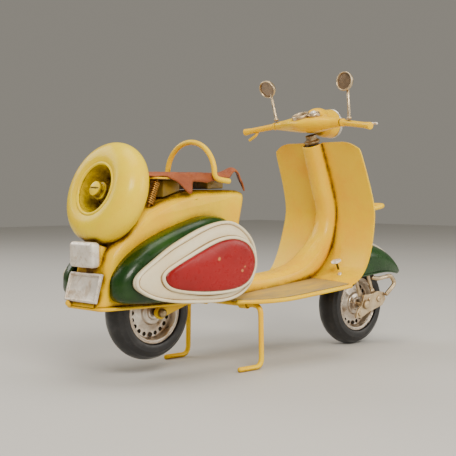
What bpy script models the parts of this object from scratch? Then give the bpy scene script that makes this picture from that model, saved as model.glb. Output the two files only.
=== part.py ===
"""Hand-made tin scooter model: +X forward, +Y left, +Z up, resting on its stand and front wheel."""
import math

import bmesh
import bpy
from mathutils import Matrix, Vector

MM = 0.001
GAP = 0.3                                   # clearance between neighbouring pieces
SHEET = 0.8                                 # tin sheet thickness
WIRE = 1.25                                 # radius of the bent-wire pieces
CENTRE_X = 73.15                            # from the rear axle forward to the middle of the whole length

WHEEL_RADIUS = 22.0
TYRE_HALF_WIDTH = 6.3
TYRE_SIDE_RADIUS = 5.5                      # radial half-height of the tyre section
RIM_LIP_RADIUS = 14.4
AXLE_RADIUS = 1.3
BORE_RADIUS = 1.7
REAR_AXLE = (0.0, 28.9)
FRONT_AXLE = (142.6, WHEEL_RADIUS)
HEAD_TUBE_RADIUS = 3.5
HEAD_TOP = (110.0, 112.0)                   # the steering axis runs from here to the front axle

BODY_HALF_WIDTH = 14.6
BODY_BOTTOM = 33.0
TAIL_FOOT = (-36.0, BODY_BOTTOM)
TAIL_SHOULDER = (-29.0, 57.0)
BODY_TOP = (TAIL_SHOULDER, (-9.3, 75.4), (3.5, 80.6), (12.0, 83.0), (39.5, 84.0), (48.6, 81.8))
BODY_FRONT = ((46.0, 69.6), (41.0, BODY_BOTTOM))

FLOOR_EDGE = ((36.5, 32.4, 20.0), (45.0, 32.3, 26.0), (58.0, 32.5, 29.0), (70.0, 33.3, 30.0),
              (88.0, 34.9, 31.0), (104.0, 36.3, 31.5))            # along, height, half-width
FLOOR_CROWN = 1.4
SLOT_HALF_WIDTH = 5.4
SHIELD_EDGE = ((104.6, 36.4, 31.6), (109.0, 37.9, 31.8), (113.4, 41.0, 32.0), (117.5, 47.0, 32.2),
               (121.0, 56.0, 32.0), (123.8, 68.0, 31.3), (123.7, 76.0, 30.9), (120.5, 87.5, 30.3),
               (114.9, 102.5, 29.5), (113.8, 105.3, 27.6), (113.0, 107.4, 23.5), (112.7, 108.2, 19.0))

COWL_BASE = ((-32.6, 42.5), (-31.0, 48.5), (-24.0, 55.8), (-13.0, 62.2), (2.0, 67.8), (20.0, 72.2),
             (32.0, 70.0), (40.0, 61.5), (42.3, 50.0), (36.0, 38.5), (10.0, 34.8), (-18.0, 34.8),
             (-30.6, 36.8))
COWL_PANEL = ((-28.2, 44.6), (-26.0, 48.6), (-18.0, 54.0), (-6.0, 61.0), (10.0, 67.6), (24.4, 70.4),
              (34.0, 67.8), (41.6, 61.0), (44.3, 51.5), (41.2, 41.4), (33.0, 35.4), (20.0, 33.2),
              (0.0, 34.0), (-16.0, 36.8), (-25.6, 41.0))
COWL_INLAY = ((-13.0, 46.0), (-11.4, 48.9), (-4.2, 52.4), (8.0, 57.2), (19.0, 61.0), (28.0, 61.8),
              (36.0, 59.2), (40.3, 53.4), (40.0, 47.2), (35.6, 41.8), (27.0, 39.2), (12.0, 39.0),
              (-2.0, 40.3), (-10.0, 42.4))

FENDER_CENTRE = (147.4, 9.0)
FENDER_RADIUS = 45.5
FENDER_HALF_WIDTH = 10.4
FENDER_DEPTH = 16.6
SPARE_CENTRE = (-23.6, 83.0)
SPARE_TILT = math.radians(18.7)
SPARE_RING = 15.4
SPARE_TUBE = 7.9
SPRING_FOOT = (-7.4, 77.7)
SPRING_HEAD = (-3.4, 87.4)

YELLOW = (0.90, 0.62, 0.01)
GREEN = (0.035, 0.12, 0.03)
CREAM = (0.86, 0.80, 0.62)
RED = (0.50, 0.02, 0.02)
SILVER = (0.72, 0.69, 0.62)
CHROME = (0.70, 0.66, 0.60)
GOLD = (0.66, 0.55, 0.36)
BRASS = (0.55, 0.34, 0.10)
RUBBER = (0.02, 0.02, 0.022)
LEATHER = (0.36, 0.11, 0.03)


# ---------------------------------------------------------------- scene and object helpers

def clear_scene():
    for item in list(bpy.data.objects):
        bpy.data.objects.remove(item, do_unlink=True)


def empty(name, place, parent=None):
    """An empty that carries a moving group, placed in world coordinates under its parent."""
    item = bpy.data.objects.new(name, None)
    bpy.context.scene.collection.objects.link(item)
    item.empty_display_size = 0.005
    if parent is not None:
        item.parent = parent
    item.location = Vector(place) * MM
    return item


def paint(item, colour, roughness, metallic):
    material = bpy.data.materials.new(item.name + "_finish")
    material.use_nodes = True
    shader = material.node_tree.nodes["Principled BSDF"]
    shader.inputs["Base Color"].default_value = (*colour, 1.0)
    shader.inputs["Roughness"].default_value = roughness
    shader.inputs["Metallic"].default_value = metallic
    item.data.materials.append(material)


PAINTED = (0.32, 0.0)
METAL = (0.35, 1.0)


def add_node(name, data, group, colour, finish=PAINTED):
    """Link a mesh or curve as one node of a group; its points are given in model coordinates."""
    item = bpy.data.objects.new(name, data)
    bpy.context.scene.collection.objects.link(item)
    item.parent = group
    settle(data, group)
    paint(item, colour, *finish)
    return item


def settle(data, group):
    """Turn model millimetres into metres measured from the group's origin."""
    anchor = group_place(group)
    if isinstance(data, bpy.types.Curve):
        for point in data.splines[0].points:
            point.co = (*((point.co.xyz - anchor) * MM), 1.0)
    else:
        data.transform(Matrix.Scale(MM, 4) @ Matrix.Translation(-anchor))


def group_place(group):
    """Where a group's origin lies in model millimetres."""
    place = Vector()
    walker = group
    while walker.parent is not None:
        place += walker.location / MM
        walker = walker.parent
    return place


def mesh_from(name, bm, smooth=False):
    bmesh.ops.remove_doubles(bm, verts=bm.verts, dist=1e-4)
    bmesh.ops.recalc_face_normals(bm, faces=bm.faces)
    data = bpy.data.meshes.new(name)
    bm.to_mesh(data)
    bm.free()
    for polygon in data.polygons:
        polygon.use_smooth = smooth
    return data


def thicken(item, thickness, offset):
    solid = item.modifiers.new("Sheet", "SOLIDIFY")
    solid.thickness = thickness * MM
    solid.offset = offset
    solid.use_even_offset = True
    solid.use_quality_normals = True
    return solid


def round_edges(item, width, segments=2, angle=40):
    bevel = item.modifiers.new("Rounding", "BEVEL")
    bevel.width = width * MM
    bevel.segments = segments
    bevel.limit_method = "ANGLE"
    bevel.angle_limit = math.radians(angle)
    return bevel


def cut_with(item, cutter):
    cutter.hide_render = True
    cutter.display_type = "WIRE"
    boolean = item.modifiers.new("Cut", "BOOLEAN")
    boolean.operation = "DIFFERENCE"
    boolean.solver = "EXACT"
    boolean.object = cutter
    return boolean


# ---------------------------------------------------------------- shape helpers

def lathe(name, profile, centre, axis, segments=32):
    """Turn a closed (radius, along) profile about an axis through centre."""
    bm = bmesh.new()
    ring = [bm.verts.new((radius, 0.0, along)) for radius, along in profile]
    edges = [bm.edges.new((ring[i], ring[(i + 1) % len(ring)])) for i in range(len(ring))
             if not (ring[i].co.x < 1e-6 and ring[(i + 1) % len(ring)].co.x < 1e-6)]
    bmesh.ops.spin(bm, geom=ring + edges, cent=(0, 0, 0), axis=(0, 0, 1),
                   angle=2 * math.pi, steps=segments, use_merge=True)
    turn = Vector(axis).to_track_quat("Z", "Y").to_matrix().to_4x4()
    bmesh.ops.transform(bm, matrix=Matrix.Translation(Vector(centre)) @ turn, verts=bm.verts)
    return mesh_from(name, bm, smooth=True)


def plate(name, outline, low, high, plane="XZ"):
    """A flat plate: an outline in XZ pushed along Y, or in XY pushed along Z."""
    bm = bmesh.new()
    if plane == "XZ":
        corners = [bm.verts.new((a, low, b)) for a, b in outline]
        step = Vector((0, high - low, 0))
    else:
        corners = [bm.verts.new((a, b, low)) for a, b in outline]
        step = Vector((0, 0, high - low))
    face = bm.faces.new(corners)
    grown = bmesh.ops.extrude_face_region(bm, geom=[face])
    moved = [part for part in grown["geom"] if isinstance(part, bmesh.types.BMVert)]
    bmesh.ops.translate(bm, vec=step, verts=moved)
    return mesh_from(name, bm)


def loft(name, rings, smooth=True, closed_ends=True):
    """Skin a row of equal-count closed rings of points."""
    bm = bmesh.new()
    rows = [[bm.verts.new(point) for point in ring] for ring in rings]
    count = len(rows[0])
    for first, second in zip(rows, rows[1:]):
        for i in range(count):
            j = (i + 1) % count
            bm.faces.new((first[i], first[j], second[j], second[i]))
    if closed_ends:
        bm.faces.new(rows[0])
        bm.faces.new(rows[-1])
    return mesh_from(name, bm, smooth)


def sheet(name, rows, smooth=True):
    """An open sheet through rows of points, later thickened."""
    bm = bmesh.new()
    grid = [[bm.verts.new(point) for point in row] for row in rows]
    for first, second in zip(grid, grid[1:]):
        for i in range(len(first) - 1):
            bm.faces.new((first[i], first[i + 1], second[i + 1], second[i]))
    data = bpy.data.meshes.new(name)
    bm.to_mesh(data)
    bm.free()
    for polygon in data.polygons:
        polygon.use_smooth = smooth
    return data


def rounded_route(points, radius, steps=4):
    """Points of a bent wire: straight runs joined by arcs of one bend radius."""
    points = [Vector(point) for point in points]
    route = [points[0]]
    for before, corner, after in zip(points, points[1:], points[2:]):
        back = (before - corner).normalized()
        ahead = (after - corner).normalized()
        half = back.angle(ahead) / 2
        reach = min(radius / math.tan(half), (before - corner).length * 0.49,
                    (after - corner).length * 0.49)
        bend = reach * math.tan(half)
        centre = corner + (back + ahead).normalized() * (bend / math.sin(half))
        start = corner + back * reach - centre
        sweep = math.pi - 2 * half
        turn = start.cross(corner + ahead * reach - centre).normalized()
        for i in range(steps + 1):
            route.append(centre + Matrix.Rotation(sweep * i / steps, 3, turn) @ start)
    route.append(points[-1])
    return route


def wire(name, route, radius, resolution=2):
    """A round rod along a route, its ends filled."""
    curve = bpy.data.curves.new(name, "CURVE")
    curve.dimensions = "3D"
    curve.bevel_depth = radius * MM
    curve.bevel_resolution = resolution
    curve.use_fill_caps = True
    spline = curve.splines.new("POLY")
    spline.points.add(len(route) - 1)
    for target, point in zip(spline.points, route):
        target.co = (*point, 1.0)
    return curve


def smooth_loop(controls, count):
    """A closed curve through a few control points, resampled evenly in parameter."""
    total = len(controls)
    loop = []
    for k in range(count):
        place = k * total / count
        i = int(place)
        t = place - i
        p0, p1, p2, p3 = (Vector(controls[(i + n - 1) % total]) for n in range(4))
        loop.append(0.5 * (2 * p1 + (p2 - p0) * t + (2 * p0 - 5 * p1 + 4 * p2 - p3) * t ** 2
                           + (3 * p1 - p0 - 3 * p2 + p3) * t ** 3))
    return loop


def dome(outline, levels, side):
    """Rings of an outline stepped outward from the side plane; levels are (inset, y)."""
    middle = sum(outline, Vector((0, 0))) / len(outline)
    rings = []
    for inset, height in levels:
        ring = []
        for point in outline:
            spoke = point - middle
            inner = middle + spoke * (1 - inset / spoke.length)
            ring.append((inner.x, side * height, inner.y))
        rings.append(ring)
    return rings


def steering_direction():
    return Vector((HEAD_TOP[0] - FRONT_AXLE[0], 0, HEAD_TOP[1] - FRONT_AXLE[1])).normalized()


def on_steering(height):
    """The point of the steering axis at a height."""
    share = (height - FRONT_AXLE[1]) / (HEAD_TOP[1] - FRONT_AXLE[1])
    return Vector((FRONT_AXLE[0] + share * (HEAD_TOP[0] - FRONT_AXLE[0]), 0, height))


# ---------------------------------------------------------------- wheels

def tyre_profile():
    """The tyre's section: a fat oval, stepped in at its beads and flat inside."""
    middle = WHEEL_RADIUS - TYRE_SIDE_RADIUS
    steps = 8
    start = math.radians(-16)
    sweep = math.radians(212)
    outer = []
    for i in range(steps + 1):
        angle = start + sweep * i / steps
        outer.append((middle + TYRE_SIDE_RADIUS * math.sin(angle), TYRE_HALF_WIDTH * math.cos(angle)))
    bead = 4.4
    inner = 13.4
    return outer + [(RIM_LIP_RADIUS + GAP, -bead), (inner, -bead), (inner, bead),
                    (RIM_LIP_RADIUS + GAP, bead)]


def rim_profile():
    """The dished steel rim: barrel with two lips, a thin slotted web, a stepped hub with a bore."""
    half = [(BORE_RADIUS, 5.6), (3.2, 5.6), (3.6, 4.2), (5.6, 3.8), (5.8, 2.6), (9.0, 1.4),
            (11.8, 1.2), (12.4, 4.6), (13.4, 5.4), (RIM_LIP_RADIUS, 5.4), (RIM_LIP_RADIUS, 4.7),
            (13.1, 4.6)]
    return half + [(radius, -y) for radius, y in reversed(half)]


def build_wheel(prefix, group, axle):
    centre = (axle[0], 0, axle[1])
    add_node(prefix + "_tyre", lathe(prefix + "_tyre", tyre_profile(), centre, (0, 1, 0), 36),
             group, RUBBER, (0.45, 0.0))
    add_node(prefix + "_rim", lathe(prefix + "_rim", rim_profile(), centre, (0, 1, 0), 20),
             group, CHROME, METAL)


def axle_profile(left, right, head):
    """A shaft with a round-headed nut at each end; lengths run along +Y from the wheel's middle."""
    thick = 1.5
    return [(0, -right - thick), (head, -right - thick), (head, -right), (AXLE_RADIUS, -right),
            (AXLE_RADIUS, left), (head, left), (head, left + thick), (0, left + thick)]


# ---------------------------------------------------------------- rear body

def body_half_width(x):
    """The body narrows a little towards its tail."""
    taper = min(max((-x - 8.0) / 28.0, 0.0), 1.0)
    return BODY_HALF_WIDTH - 2.1 * taper


def build_rear_body(frame):
    outline = [TAIL_FOOT, *BODY_TOP, *BODY_FRONT]
    bm = bmesh.new()
    sides = []
    for sign in (-1, 1):
        sides.append([bm.verts.new((x, sign * body_half_width(x), z)) for x, z in outline])
    for side in sides:
        bm.faces.new(side)
    for i in range(len(outline) - 1):
        bm.faces.new((sides[0][i], sides[0][i + 1], sides[1][i + 1], sides[1][i]))
    bmesh.ops.recalc_face_normals(bm, faces=bm.faces)
    cheeks = [face for face in bm.faces if len(face.verts) == len(outline)]
    rims = [edge for face in cheeks for edge in face.edges if len(edge.link_faces) == 2]
    bmesh.ops.bevel(bm, geom=rims, offset=4.0, segments=3, affect="EDGES", profile=0.5)
    if sum(face.normal.z * face.calc_area() for face in bm.faces) < 0:
        bmesh.ops.reverse_faces(bm, faces=bm.faces)
    data = bpy.data.meshes.new("rear_body_shell")
    bm.to_mesh(data)
    bm.free()
    shell = add_node("rear_body_shell", data, frame, YELLOW)
    thicken(shell, SHEET, -1.0)


def build_cowl(frame, side, prefix):
    """One engine cowl: a green base cup, a cream panel cup over it and a red inlay."""
    base = smooth_loop(COWL_BASE, 32)
    panel = smooth_loop(COWL_PANEL, 32)
    inlay = smooth_loop(COWL_INLAY, 32)
    wall = BODY_HALF_WIDTH + GAP
    layers = (
        ("base", base, ((0.0, wall), (0.2, wall + 3.4), (1.5, wall + 6.8), (4.0, wall + 8.6),
                        (9.0, wall + 9.2)), GREEN),
        ("panel", panel, ((0.0, wall + 9.5), (0.3, wall + 10.9), (1.4, wall + 11.9),
                          (5.5, wall + 12.9)), CREAM),
        ("inlay", inlay, ((0.0, wall + 13.6), (0.5, wall + 14.2), (3.0, wall + 14.7)), RED),
    )
    for part, outline, levels, colour in layers:
        name = prefix + "_cowl_" + part
        rings = dome(outline, levels, side)
        thickness = SHEET if part != "inlay" else 0.5
        build_cup(name, rings, thickness, frame, colour)


def build_cup(name, rings, thickness, group, colour):
    """A thin cup: rings of a dome closed by a face at the top and open at its base."""
    bm = bmesh.new()
    rows = [[bm.verts.new(point) for point in ring] for ring in rings]
    count = len(rows[0])
    for first, second in zip(rows, rows[1:]):
        for i in range(count):
            j = (i + 1) % count
            bm.faces.new((first[i], first[j], second[j], second[i]))
    bm.faces.new(rows[-1])
    bmesh.ops.recalc_face_normals(bm, faces=bm.faces)
    outward = rings[-1][0][1] - rings[0][0][1]
    bm.faces.ensure_lookup_table()
    if bm.faces[-1].normal.y * outward < 0:
        bmesh.ops.reverse_faces(bm, faces=bm.faces)
    data = bpy.data.meshes.new(name)
    bm.to_mesh(data)
    bm.free()
    for polygon in data.polygons:
        polygon.use_smooth = True
    cup = add_node(name, data, group, colour)
    thicken(cup, thickness, -1.0)


def tail_point(height, outward):
    """A point of the sloping tail at a height, pushed out square to it."""
    foot = Vector(TAIL_FOOT)
    rise = (Vector(TAIL_SHOULDER) - foot).normalized()
    out = Vector((-rise.y, rise.x))
    share = (height - foot.y) / rise.y
    return foot + rise * share + out * outward


def tail_plate(name, low, high, near, far, half_width, group, colour, finish=PAINTED):
    """A plate lying parallel to the tail between two heights."""
    outline = [tail_point(low, near), tail_point(high, near), tail_point(high, far),
               tail_point(low, far)]
    return add_node(name, plate(name, outline, -half_width, half_width), group, colour, finish)


def build_tail(frame):
    bracket_out = GAP + 0.6
    tail_plate("plate_bracket", 33.6, 46.0, GAP, bracket_out, 8.5, frame, YELLOW)
    number_plate = tail_plate("number_plate", 35.2, 47.6, bracket_out + GAP, bracket_out + GAP + 1.2,
                              11.3, frame, SILVER, METAL)
    recess = [tail_point(36.4, bracket_out + 1.0), tail_point(46.4, bracket_out + 1.0),
              tail_point(46.4, bracket_out + 3.0), tail_point(36.4, bracket_out + 3.0)]
    carve(number_plate, recess, 10.1)
    housing = [tail_point(51.2, GAP), tail_point(56.7, GAP), (-27.4, 59.3), (-32.3, 60.6),
               (-32.3, 51.2)]
    box = add_node("tail_lamp_housing", plate("tail_lamp_housing", housing, -7.4, 7.4), frame, YELLOW)
    round_edges(box, 0.6)
    lamp = [(-32.3 - GAP, 50.9), (-32.3 - GAP, 61.4), (-37.0, 61.4), (-37.0, 50.9)]
    box = add_node("tail_lamp", plate("tail_lamp", lamp, -8.1, 8.1), frame, SILVER, METAL)
    round_edges(box, 1.3, 3)


def carve(item, outline, half_width):
    """Cut a rectangular pocket whose outline lies in XZ out of an item."""
    data = plate(item.name + "_pocket", outline, -half_width, half_width)
    settle(data, item.parent)
    cutter = bpy.data.objects.new(item.name + "_pocket", data)
    bpy.context.scene.collection.objects.link(cutter)
    cutter.parent = item.parent
    boolean = cut_with(item, cutter)
    apply_and_drop(item, boolean, cutter)


def apply_and_drop(item, boolean, cutter):
    """Keep the evaluated cut as the item's own mesh and remove the cutter."""
    bpy.context.view_layer.update()
    graph = bpy.context.evaluated_depsgraph_get()
    result = bpy.data.meshes.new_from_object(item.evaluated_get(graph))
    item.modifiers.remove(boolean)
    item.data = result
    bpy.data.objects.remove(cutter, do_unlink=True)


def build_spare(frame):
    out = Vector((-math.cos(SPARE_TILT), 0, math.sin(SPARE_TILT)))
    centre = Vector((SPARE_CENTRE[0], 0, SPARE_CENTRE[1]))
    steps = 9
    wall = 0.9
    outer = []
    inner = []
    for i in range(steps + 1):
        angle = math.radians(-52) + math.radians(284) * i / steps
        outer.append((SPARE_RING - SPARE_TUBE * math.sin(angle + math.pi), SPARE_TUBE * math.cos(angle)))
        hollow = SPARE_TUBE - wall
        inner.append((SPARE_RING - hollow * math.sin(angle + math.pi), hollow * math.cos(angle)))
    add_node("spare_tyre", lathe("spare_tyre", outer + list(reversed(inner)), centre, out, 28),
             frame, YELLOW)
    dish = [(2.2, 2.4), (4.4, 2.0), (4.8, -0.4), (7.6, -1.6), (8.3, -1.2), (8.3, -2.4), (7.2, -2.8),
            (3.8, -1.6), (3.4, 0.8), (2.2, 1.2)]
    add_node("spare_rim", lathe("spare_rim", dish, centre, out, 24), frame, YELLOW)
    bolt = [(0, 7.8), (2.6, 7.8), (3.0, 7.2), (3.0, 4.4), (1.8, 4.2), (1.8, -4.5), (0, -4.5)]
    add_node("spare_bolt", lathe("spare_bolt", bolt, centre, out, 16), frame, YELLOW)
    foot = centre - out * (4.5 + GAP)
    rise = (Vector(BODY_TOP[1]) - Vector(BODY_TOP[0])).normalized()
    off = Vector((-rise.y, 0, rise.x))
    seat = Vector((BODY_TOP[1][0] - 2.7, 0, BODY_TOP[1][1] - 2.52)) + off * GAP
    route = rounded_route([foot, foot - out * 3.2, seat + off * 3.2, seat], 1.5, 2)
    add_node("spare_carrier", wire("spare_carrier", route, 1.9), frame, YELLOW)


def build_seat(frame):
    """The seat pan on its two blocks, the springs behind, the grab handle and the leather."""
    block = [(1.0, 80.5), (11.0, 83.4), (11.0, 88.6), (1.0, 88.6)]
    add_node("seat_rear_block", plate("seat_rear_block", block, -10.0, 10.0), frame, YELLOW)
    bracket = [(27.0, 84.3), (37.0, 84.6), (37.0, 88.6), (27.0, 88.6)]
    add_node("seat_front_bracket", plate("seat_front_bracket", bracket, -11.0, 11.0), frame, YELLOW)
    pan = [(-6.5, -12.5), (2.0, -14.2), (30.0, -13.6), (39.0, -9.0), (39.0, 9.0), (30.0, 13.6),
           (2.0, 14.2), (-6.5, 12.5)]
    pan_node = add_node("seat_pan", plate("seat_pan", pan, 88.9, 90.1, "XY"), frame, YELLOW)
    round_edges(pan_node, 0.3, 1)
    hide = [(-7.5, -13.0), (2.0, -15.0), (30.0, -14.6), (42.0, -12.0), (45.5, -5.0), (45.5, 5.0),
            (42.0, 12.0), (30.0, 14.6), (2.0, 15.0), (-7.5, 13.0)]
    leather = add_node("seat_leather", plate("seat_leather", hide, 90.4, 91.8, "XY"), frame,
                       LEATHER, (0.6, 0.0))
    round_edges(leather, 0.4, 1)
    for side, name in ((-1, "seat_spring_right"), (1, "seat_spring_left")):
        foot = (SPRING_FOOT[0], side * 10.6, SPRING_FOOT[1])
        head = (SPRING_HEAD[0], side * 10.6, SPRING_HEAD[1])
        build_spring(name, Vector(foot), Vector(head), frame)
    arch = []
    half_span = 16.6
    base = 91.2
    steps = 20
    for i in range(steps + 1):
        angle = math.pi * i / steps
        arch.append((26.3, -half_span * math.cos(angle), base + 15.0 * math.sin(angle)))
    toe_right = [(35.0, -17.0, 88.0), (29.6, -16.9, 88.7), (27.2, -16.75, 89.6)]
    toe_left = [(27.2, 16.75, 89.6), (29.6, 16.9, 88.7), (35.0, 17.0, 88.0)]
    add_node("grab_handle", wire("grab_handle", toe_right + arch + toe_left, WIRE), frame, YELLOW)


def build_spring(name, foot, head, group):
    """A close-wound spring as one grooved barrel around its own core."""
    length = (head - foot).length
    turns = 9
    profile = [(0, 0)]
    for i in range(turns):
        low = length * i / turns
        profile += [(1.25, low + 0.02), (1.8, low + length / turns / 2)]
    profile += [(1.25, length), (0, length)]
    add_node(name, lathe(name, profile, foot, head - foot, 10), group, BRASS, METAL)


# ---------------------------------------------------------------- floor, shield and spine

def build_floor(frame):
    rows = []
    across = (-1.0, -0.7, -0.4, 0.0, 0.4, 0.7, 1.0)
    for x, z, half in FLOOR_EDGE:
        crown = FLOOR_CROWN * min(max((x - 45.0) / 15.0, 0.0), 1.0)
        rows.append([(x, half * share, z + crown * (1 - share ** 2)) for share in across])
    thicken(add_node("floor_pan", sheet("floor_pan", rows), frame, (0.62, 0.50, 0.26)), SHEET, 1.0)
    for side, name in ((-1, "floor_trim_right"), (1, "floor_trim_left")):
        route = [(x, side * (half + WIRE * 0.8 + GAP), z - 0.4) for x, z, half in FLOOR_EDGE]
        add_node(name, wire(name, route, WIRE * 0.8), frame, YELLOW)


def shield_rows():
    across = (-1.0, -0.7, -0.4, 0.4, 0.7, 1.0)
    rows = []
    for x, z, half in SHIELD_EDGE:
        crown = FLOOR_CROWN * min(max((45.0 - z) / 8.0, 0.0), 1.0)
        reach = [half * share for share in across]
        reach[3:3] = [-SLOT_HALF_WIDTH, SLOT_HALF_WIDTH]
        rows.append([(x, y, z + crown * (1 - (y / half) ** 2)) for y in reach])
    return rows


def build_shield(frame):
    """The leg shield sheet, slotted above its waist where the steering head stands."""
    bm = bmesh.new()
    rows = shield_rows()
    grid = [[bm.verts.new(point) for point in row] for row in rows]
    slot_from = 4
    for r in range(len(rows) - 1):
        for i in range(len(rows[0]) - 1):
            if i == 3 and r >= slot_from:
                continue
            bm.faces.new((grid[r][i], grid[r][i + 1], grid[r + 1][i + 1], grid[r + 1][i]))
    data = bpy.data.meshes.new("leg_shield")
    bm.to_mesh(data)
    bm.free()
    for polygon in data.polygons:
        polygon.use_smooth = True
    shield = add_node("leg_shield", data, frame, YELLOW)
    thicken(shield, SHEET, 1.0)


def channel_ring(origin, out, half, depth, wall, points=7):
    """A U-section: outer and inner half ovals standing off a surface along out."""
    outer = []
    inner = []
    for i in range(points):
        angle = math.pi * i / (points - 1)
        across = Vector((0, -math.cos(angle), 0))
        outer.append(origin + across * half + out * (depth * math.sin(angle)))
        inner.append(origin + across * (half - wall) + out * ((depth - wall) * math.sin(angle)))
    return outer + list(reversed(inner))


def shield_front(height):
    """How far forward the shield's front face lies at a height."""
    for (x0, z0, _), (x1, z1, _) in zip(SHIELD_EDGE, SHIELD_EDGE[1:]):
        if z0 <= height <= z1:
            return x0 + (x1 - x0) * (height - z0) / (z1 - z0) + SHEET
    return SHIELD_EDGE[-1][0] + SHEET


def build_spine(frame):
    """The steering-head cover behind the shield, its nose in front, and the tunnel on the floor."""
    tilt = steering_direction()
    back = Vector((-tilt.z, 0, tilt.x))
    if back.x > 0:
        back = -back
    rings = []
    for height, half, depth in ((107.6, 5.2, 5.0), (96.0, 5.4, 5.2), (84.0, 5.6, 5.6), (74.0, 5.8, 6.4)):
        base = on_steering(height) + back * 0.6
        rings.append(channel_ring(base, back, half, depth, SHEET))
    for x, z, half, depth, lean in ((120.4, 62.0, 6.2, 6.6, 10), (114.5, 52.0, 6.8, 7.0, -22),
                                    (107.2, 45.4, 7.2, 6.6, -48), (100.5, 41.6, 7.4, 6.2, -66)):
        out = Vector((-math.cos(math.radians(lean)), 0, -math.sin(math.radians(lean))))
        base = Vector((x, 0, z)) + Vector((0.4, 0, 0.4))
        rings.append(channel_ring(base, out, half, depth, SHEET))
    add_node("spine_cover", loft("spine_cover", rings), frame, YELLOW)

    tube = [(2.7, 0), (HEAD_TUBE_RADIUS, 0), (HEAD_TUBE_RADIUS, 50.0), (2.7, 50.0)]
    add_node("steering_head_tube", lathe("steering_head_tube", tube, on_steering(60.2), tilt, 16),
             frame, YELLOW)

    rings = []
    for height in (105.3, 102.5, 87.5, 76.0, 68.0, 56.0):
        base = Vector((shield_front(height) + GAP + 0.2, 0, height))
        depth = (on_steering(height) - base).dot(-back) + HEAD_TUBE_RADIUS + 1.4 + SHEET
        rings.append(channel_ring(base, -back, 6.8, depth, SHEET))
    add_node("nose_cover", loft("nose_cover", rings), frame, YELLOW)

    rings = []
    for x, z, half, depth in ((43.2, 34.4, 8.4, 7.4), (60.0, 34.9, 8.2, 6.4), (80.0, 36.3, 8.0, 5.9),
                              (98.6, 38.2, 7.7, 5.6)):
        outline = [(-half, 0), (-half + 0.5, depth - 1.6), (-half + 2.2, depth), (half - 2.2, depth),
                   (half - 0.5, depth - 1.6), (half, 0)]
        inside = [(half - SHEET, 0), (half - SHEET - 0.4, depth - 2.0), (half - 2.6, depth - SHEET),
                  (-half + 2.6, depth - SHEET), (-half + SHEET + 0.4, depth - 2.0), (-half + SHEET, 0)]
        rings.append([Vector((x, y, z + up)) for y, up in outline + inside])
    add_node("floor_tunnel", loft("floor_tunnel", rings, smooth=False), frame, YELLOW)


def build_carrier(frame):
    """The bent-wire loop that stands out in front of the shield."""
    route = rounded_route([(125.6, -17.0, 71.6), (151.2, -17.0, 75.4), (151.2, 17.0, 75.4),
                           (125.6, 17.0, 71.6)], 5.0, 5)
    add_node("front_carrier", wire("front_carrier", route, WIRE), frame, YELLOW)


# ---------------------------------------------------------------- stand, axle arm and pedal

STAND_PIVOT = (47.5, 29.7)
TOE = (33.0, WIRE)


def build_stand(frame, stand):
    foot = (STAND_PIVOT[0], WIRE)
    half = [(TOE[0], 26.3, TOE[1]), (foot[0], 26.1, foot[1]), (STAND_PIVOT[0], 25.5, STAND_PIVOT[1])]
    route = [(x, -y, z) for x, y, z in half] + [(x, y, z) for x, y, z in reversed(half)]
    add_node("centre_stand", wire("centre_stand", rounded_route(route, 4.4), WIRE, 3), stand, YELLOW)
    for side, name in ((-1, "stand_clip_right"), (1, "stand_clip_left")):
        low, high = sorted((side * 12.0, side * 17.0))
        inner = WIRE + GAP
        outer = inner + 0.6
        top = 1.75
        arc = [math.pi + math.pi * i / 8 for i in range(9)]
        outline = [(-4.4, top), (-4.4, top - 0.6), (-outer, top - 0.6)]
        outline += [(outer * math.cos(a), outer * math.sin(a)) for a in arc]
        outline += [(outer, top - 0.6), (4.4, top - 0.6), (4.4, top), (inner, top)]
        outline += [(inner * math.cos(a), inner * math.sin(a)) for a in reversed(arc)]
        outline += [(-inner, top)]
        placed = [(STAND_PIVOT[0] + x, STAND_PIVOT[1] + z) for x, z in outline]
        add_node(name, plate(name, placed, low, high), frame, YELLOW)


def arm_outline(hub, end, eye, width):
    """A flat arm: a round eye at the hub and a squared far end, as an outline around both."""
    direction = (Vector(end) - Vector(hub)).normalized()
    across = Vector((-direction.y, direction.x))
    outline = []
    heading = math.atan2(direction.y, direction.x)
    for i in range(13):
        angle = heading + math.radians(50) + math.radians(260) * i / 12
        outline.append(Vector(hub) + eye * Vector((math.cos(angle), math.sin(angle))))
    outline.append(Vector(end) - across * width)
    outline.append(Vector(end) + across * width)
    return outline


def build_rear_arm(frame):
    """The fork that holds the rear axle: two flat arms joined by a bar ahead of the wheel."""
    profile = axle_profile(10.4, 10.4, 2.0)
    add_node("rear_axle", lathe("rear_axle", profile, (REAR_AXLE[0], 0, REAR_AXLE[1]), (0, 1, 0), 12),
             frame, GOLD, METAL)
    for side, name in ((-1, "rear_arm_right"), (1, "rear_arm_left")):
        low, high = sorted((side * 8.2, side * 10.0))
        outline = arm_outline(REAR_AXLE, (33.0, 39.0), 2.9, 1.9)
        arm = add_node(name, plate(name, outline, low, high), frame, YELLOW)
        hole = [Vector(REAR_AXLE) + BORE_RADIUS * Vector((math.cos(a), math.sin(a)))
                for a in (2 * math.pi * i / 16 for i in range(16))]
        carve(arm, hole, 12.0)


def build_pedal(pedal):
    hinge = pedal_hinge()
    pad = hinge + Vector((-2.4, 0, 3.9))
    stalk = pad - hinge
    tall = stalk.length
    profile = [(0, 0.9), (0.55, 0.9), (0.55, tall - 0.9), (1.6, tall - 0.7), (2.6, tall - 0.1),
               (2.6, tall + 0.3), (1.7, tall + 0.8), (0, tall + 1.0)]
    add_node("brake_pedal", lathe("brake_pedal", profile, hinge, stalk, 14), pedal, SILVER, METAL)


def pedal_hinge():
    return Vector((112.0, -18.0, 42.4))


# ---------------------------------------------------------------- steering group

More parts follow.
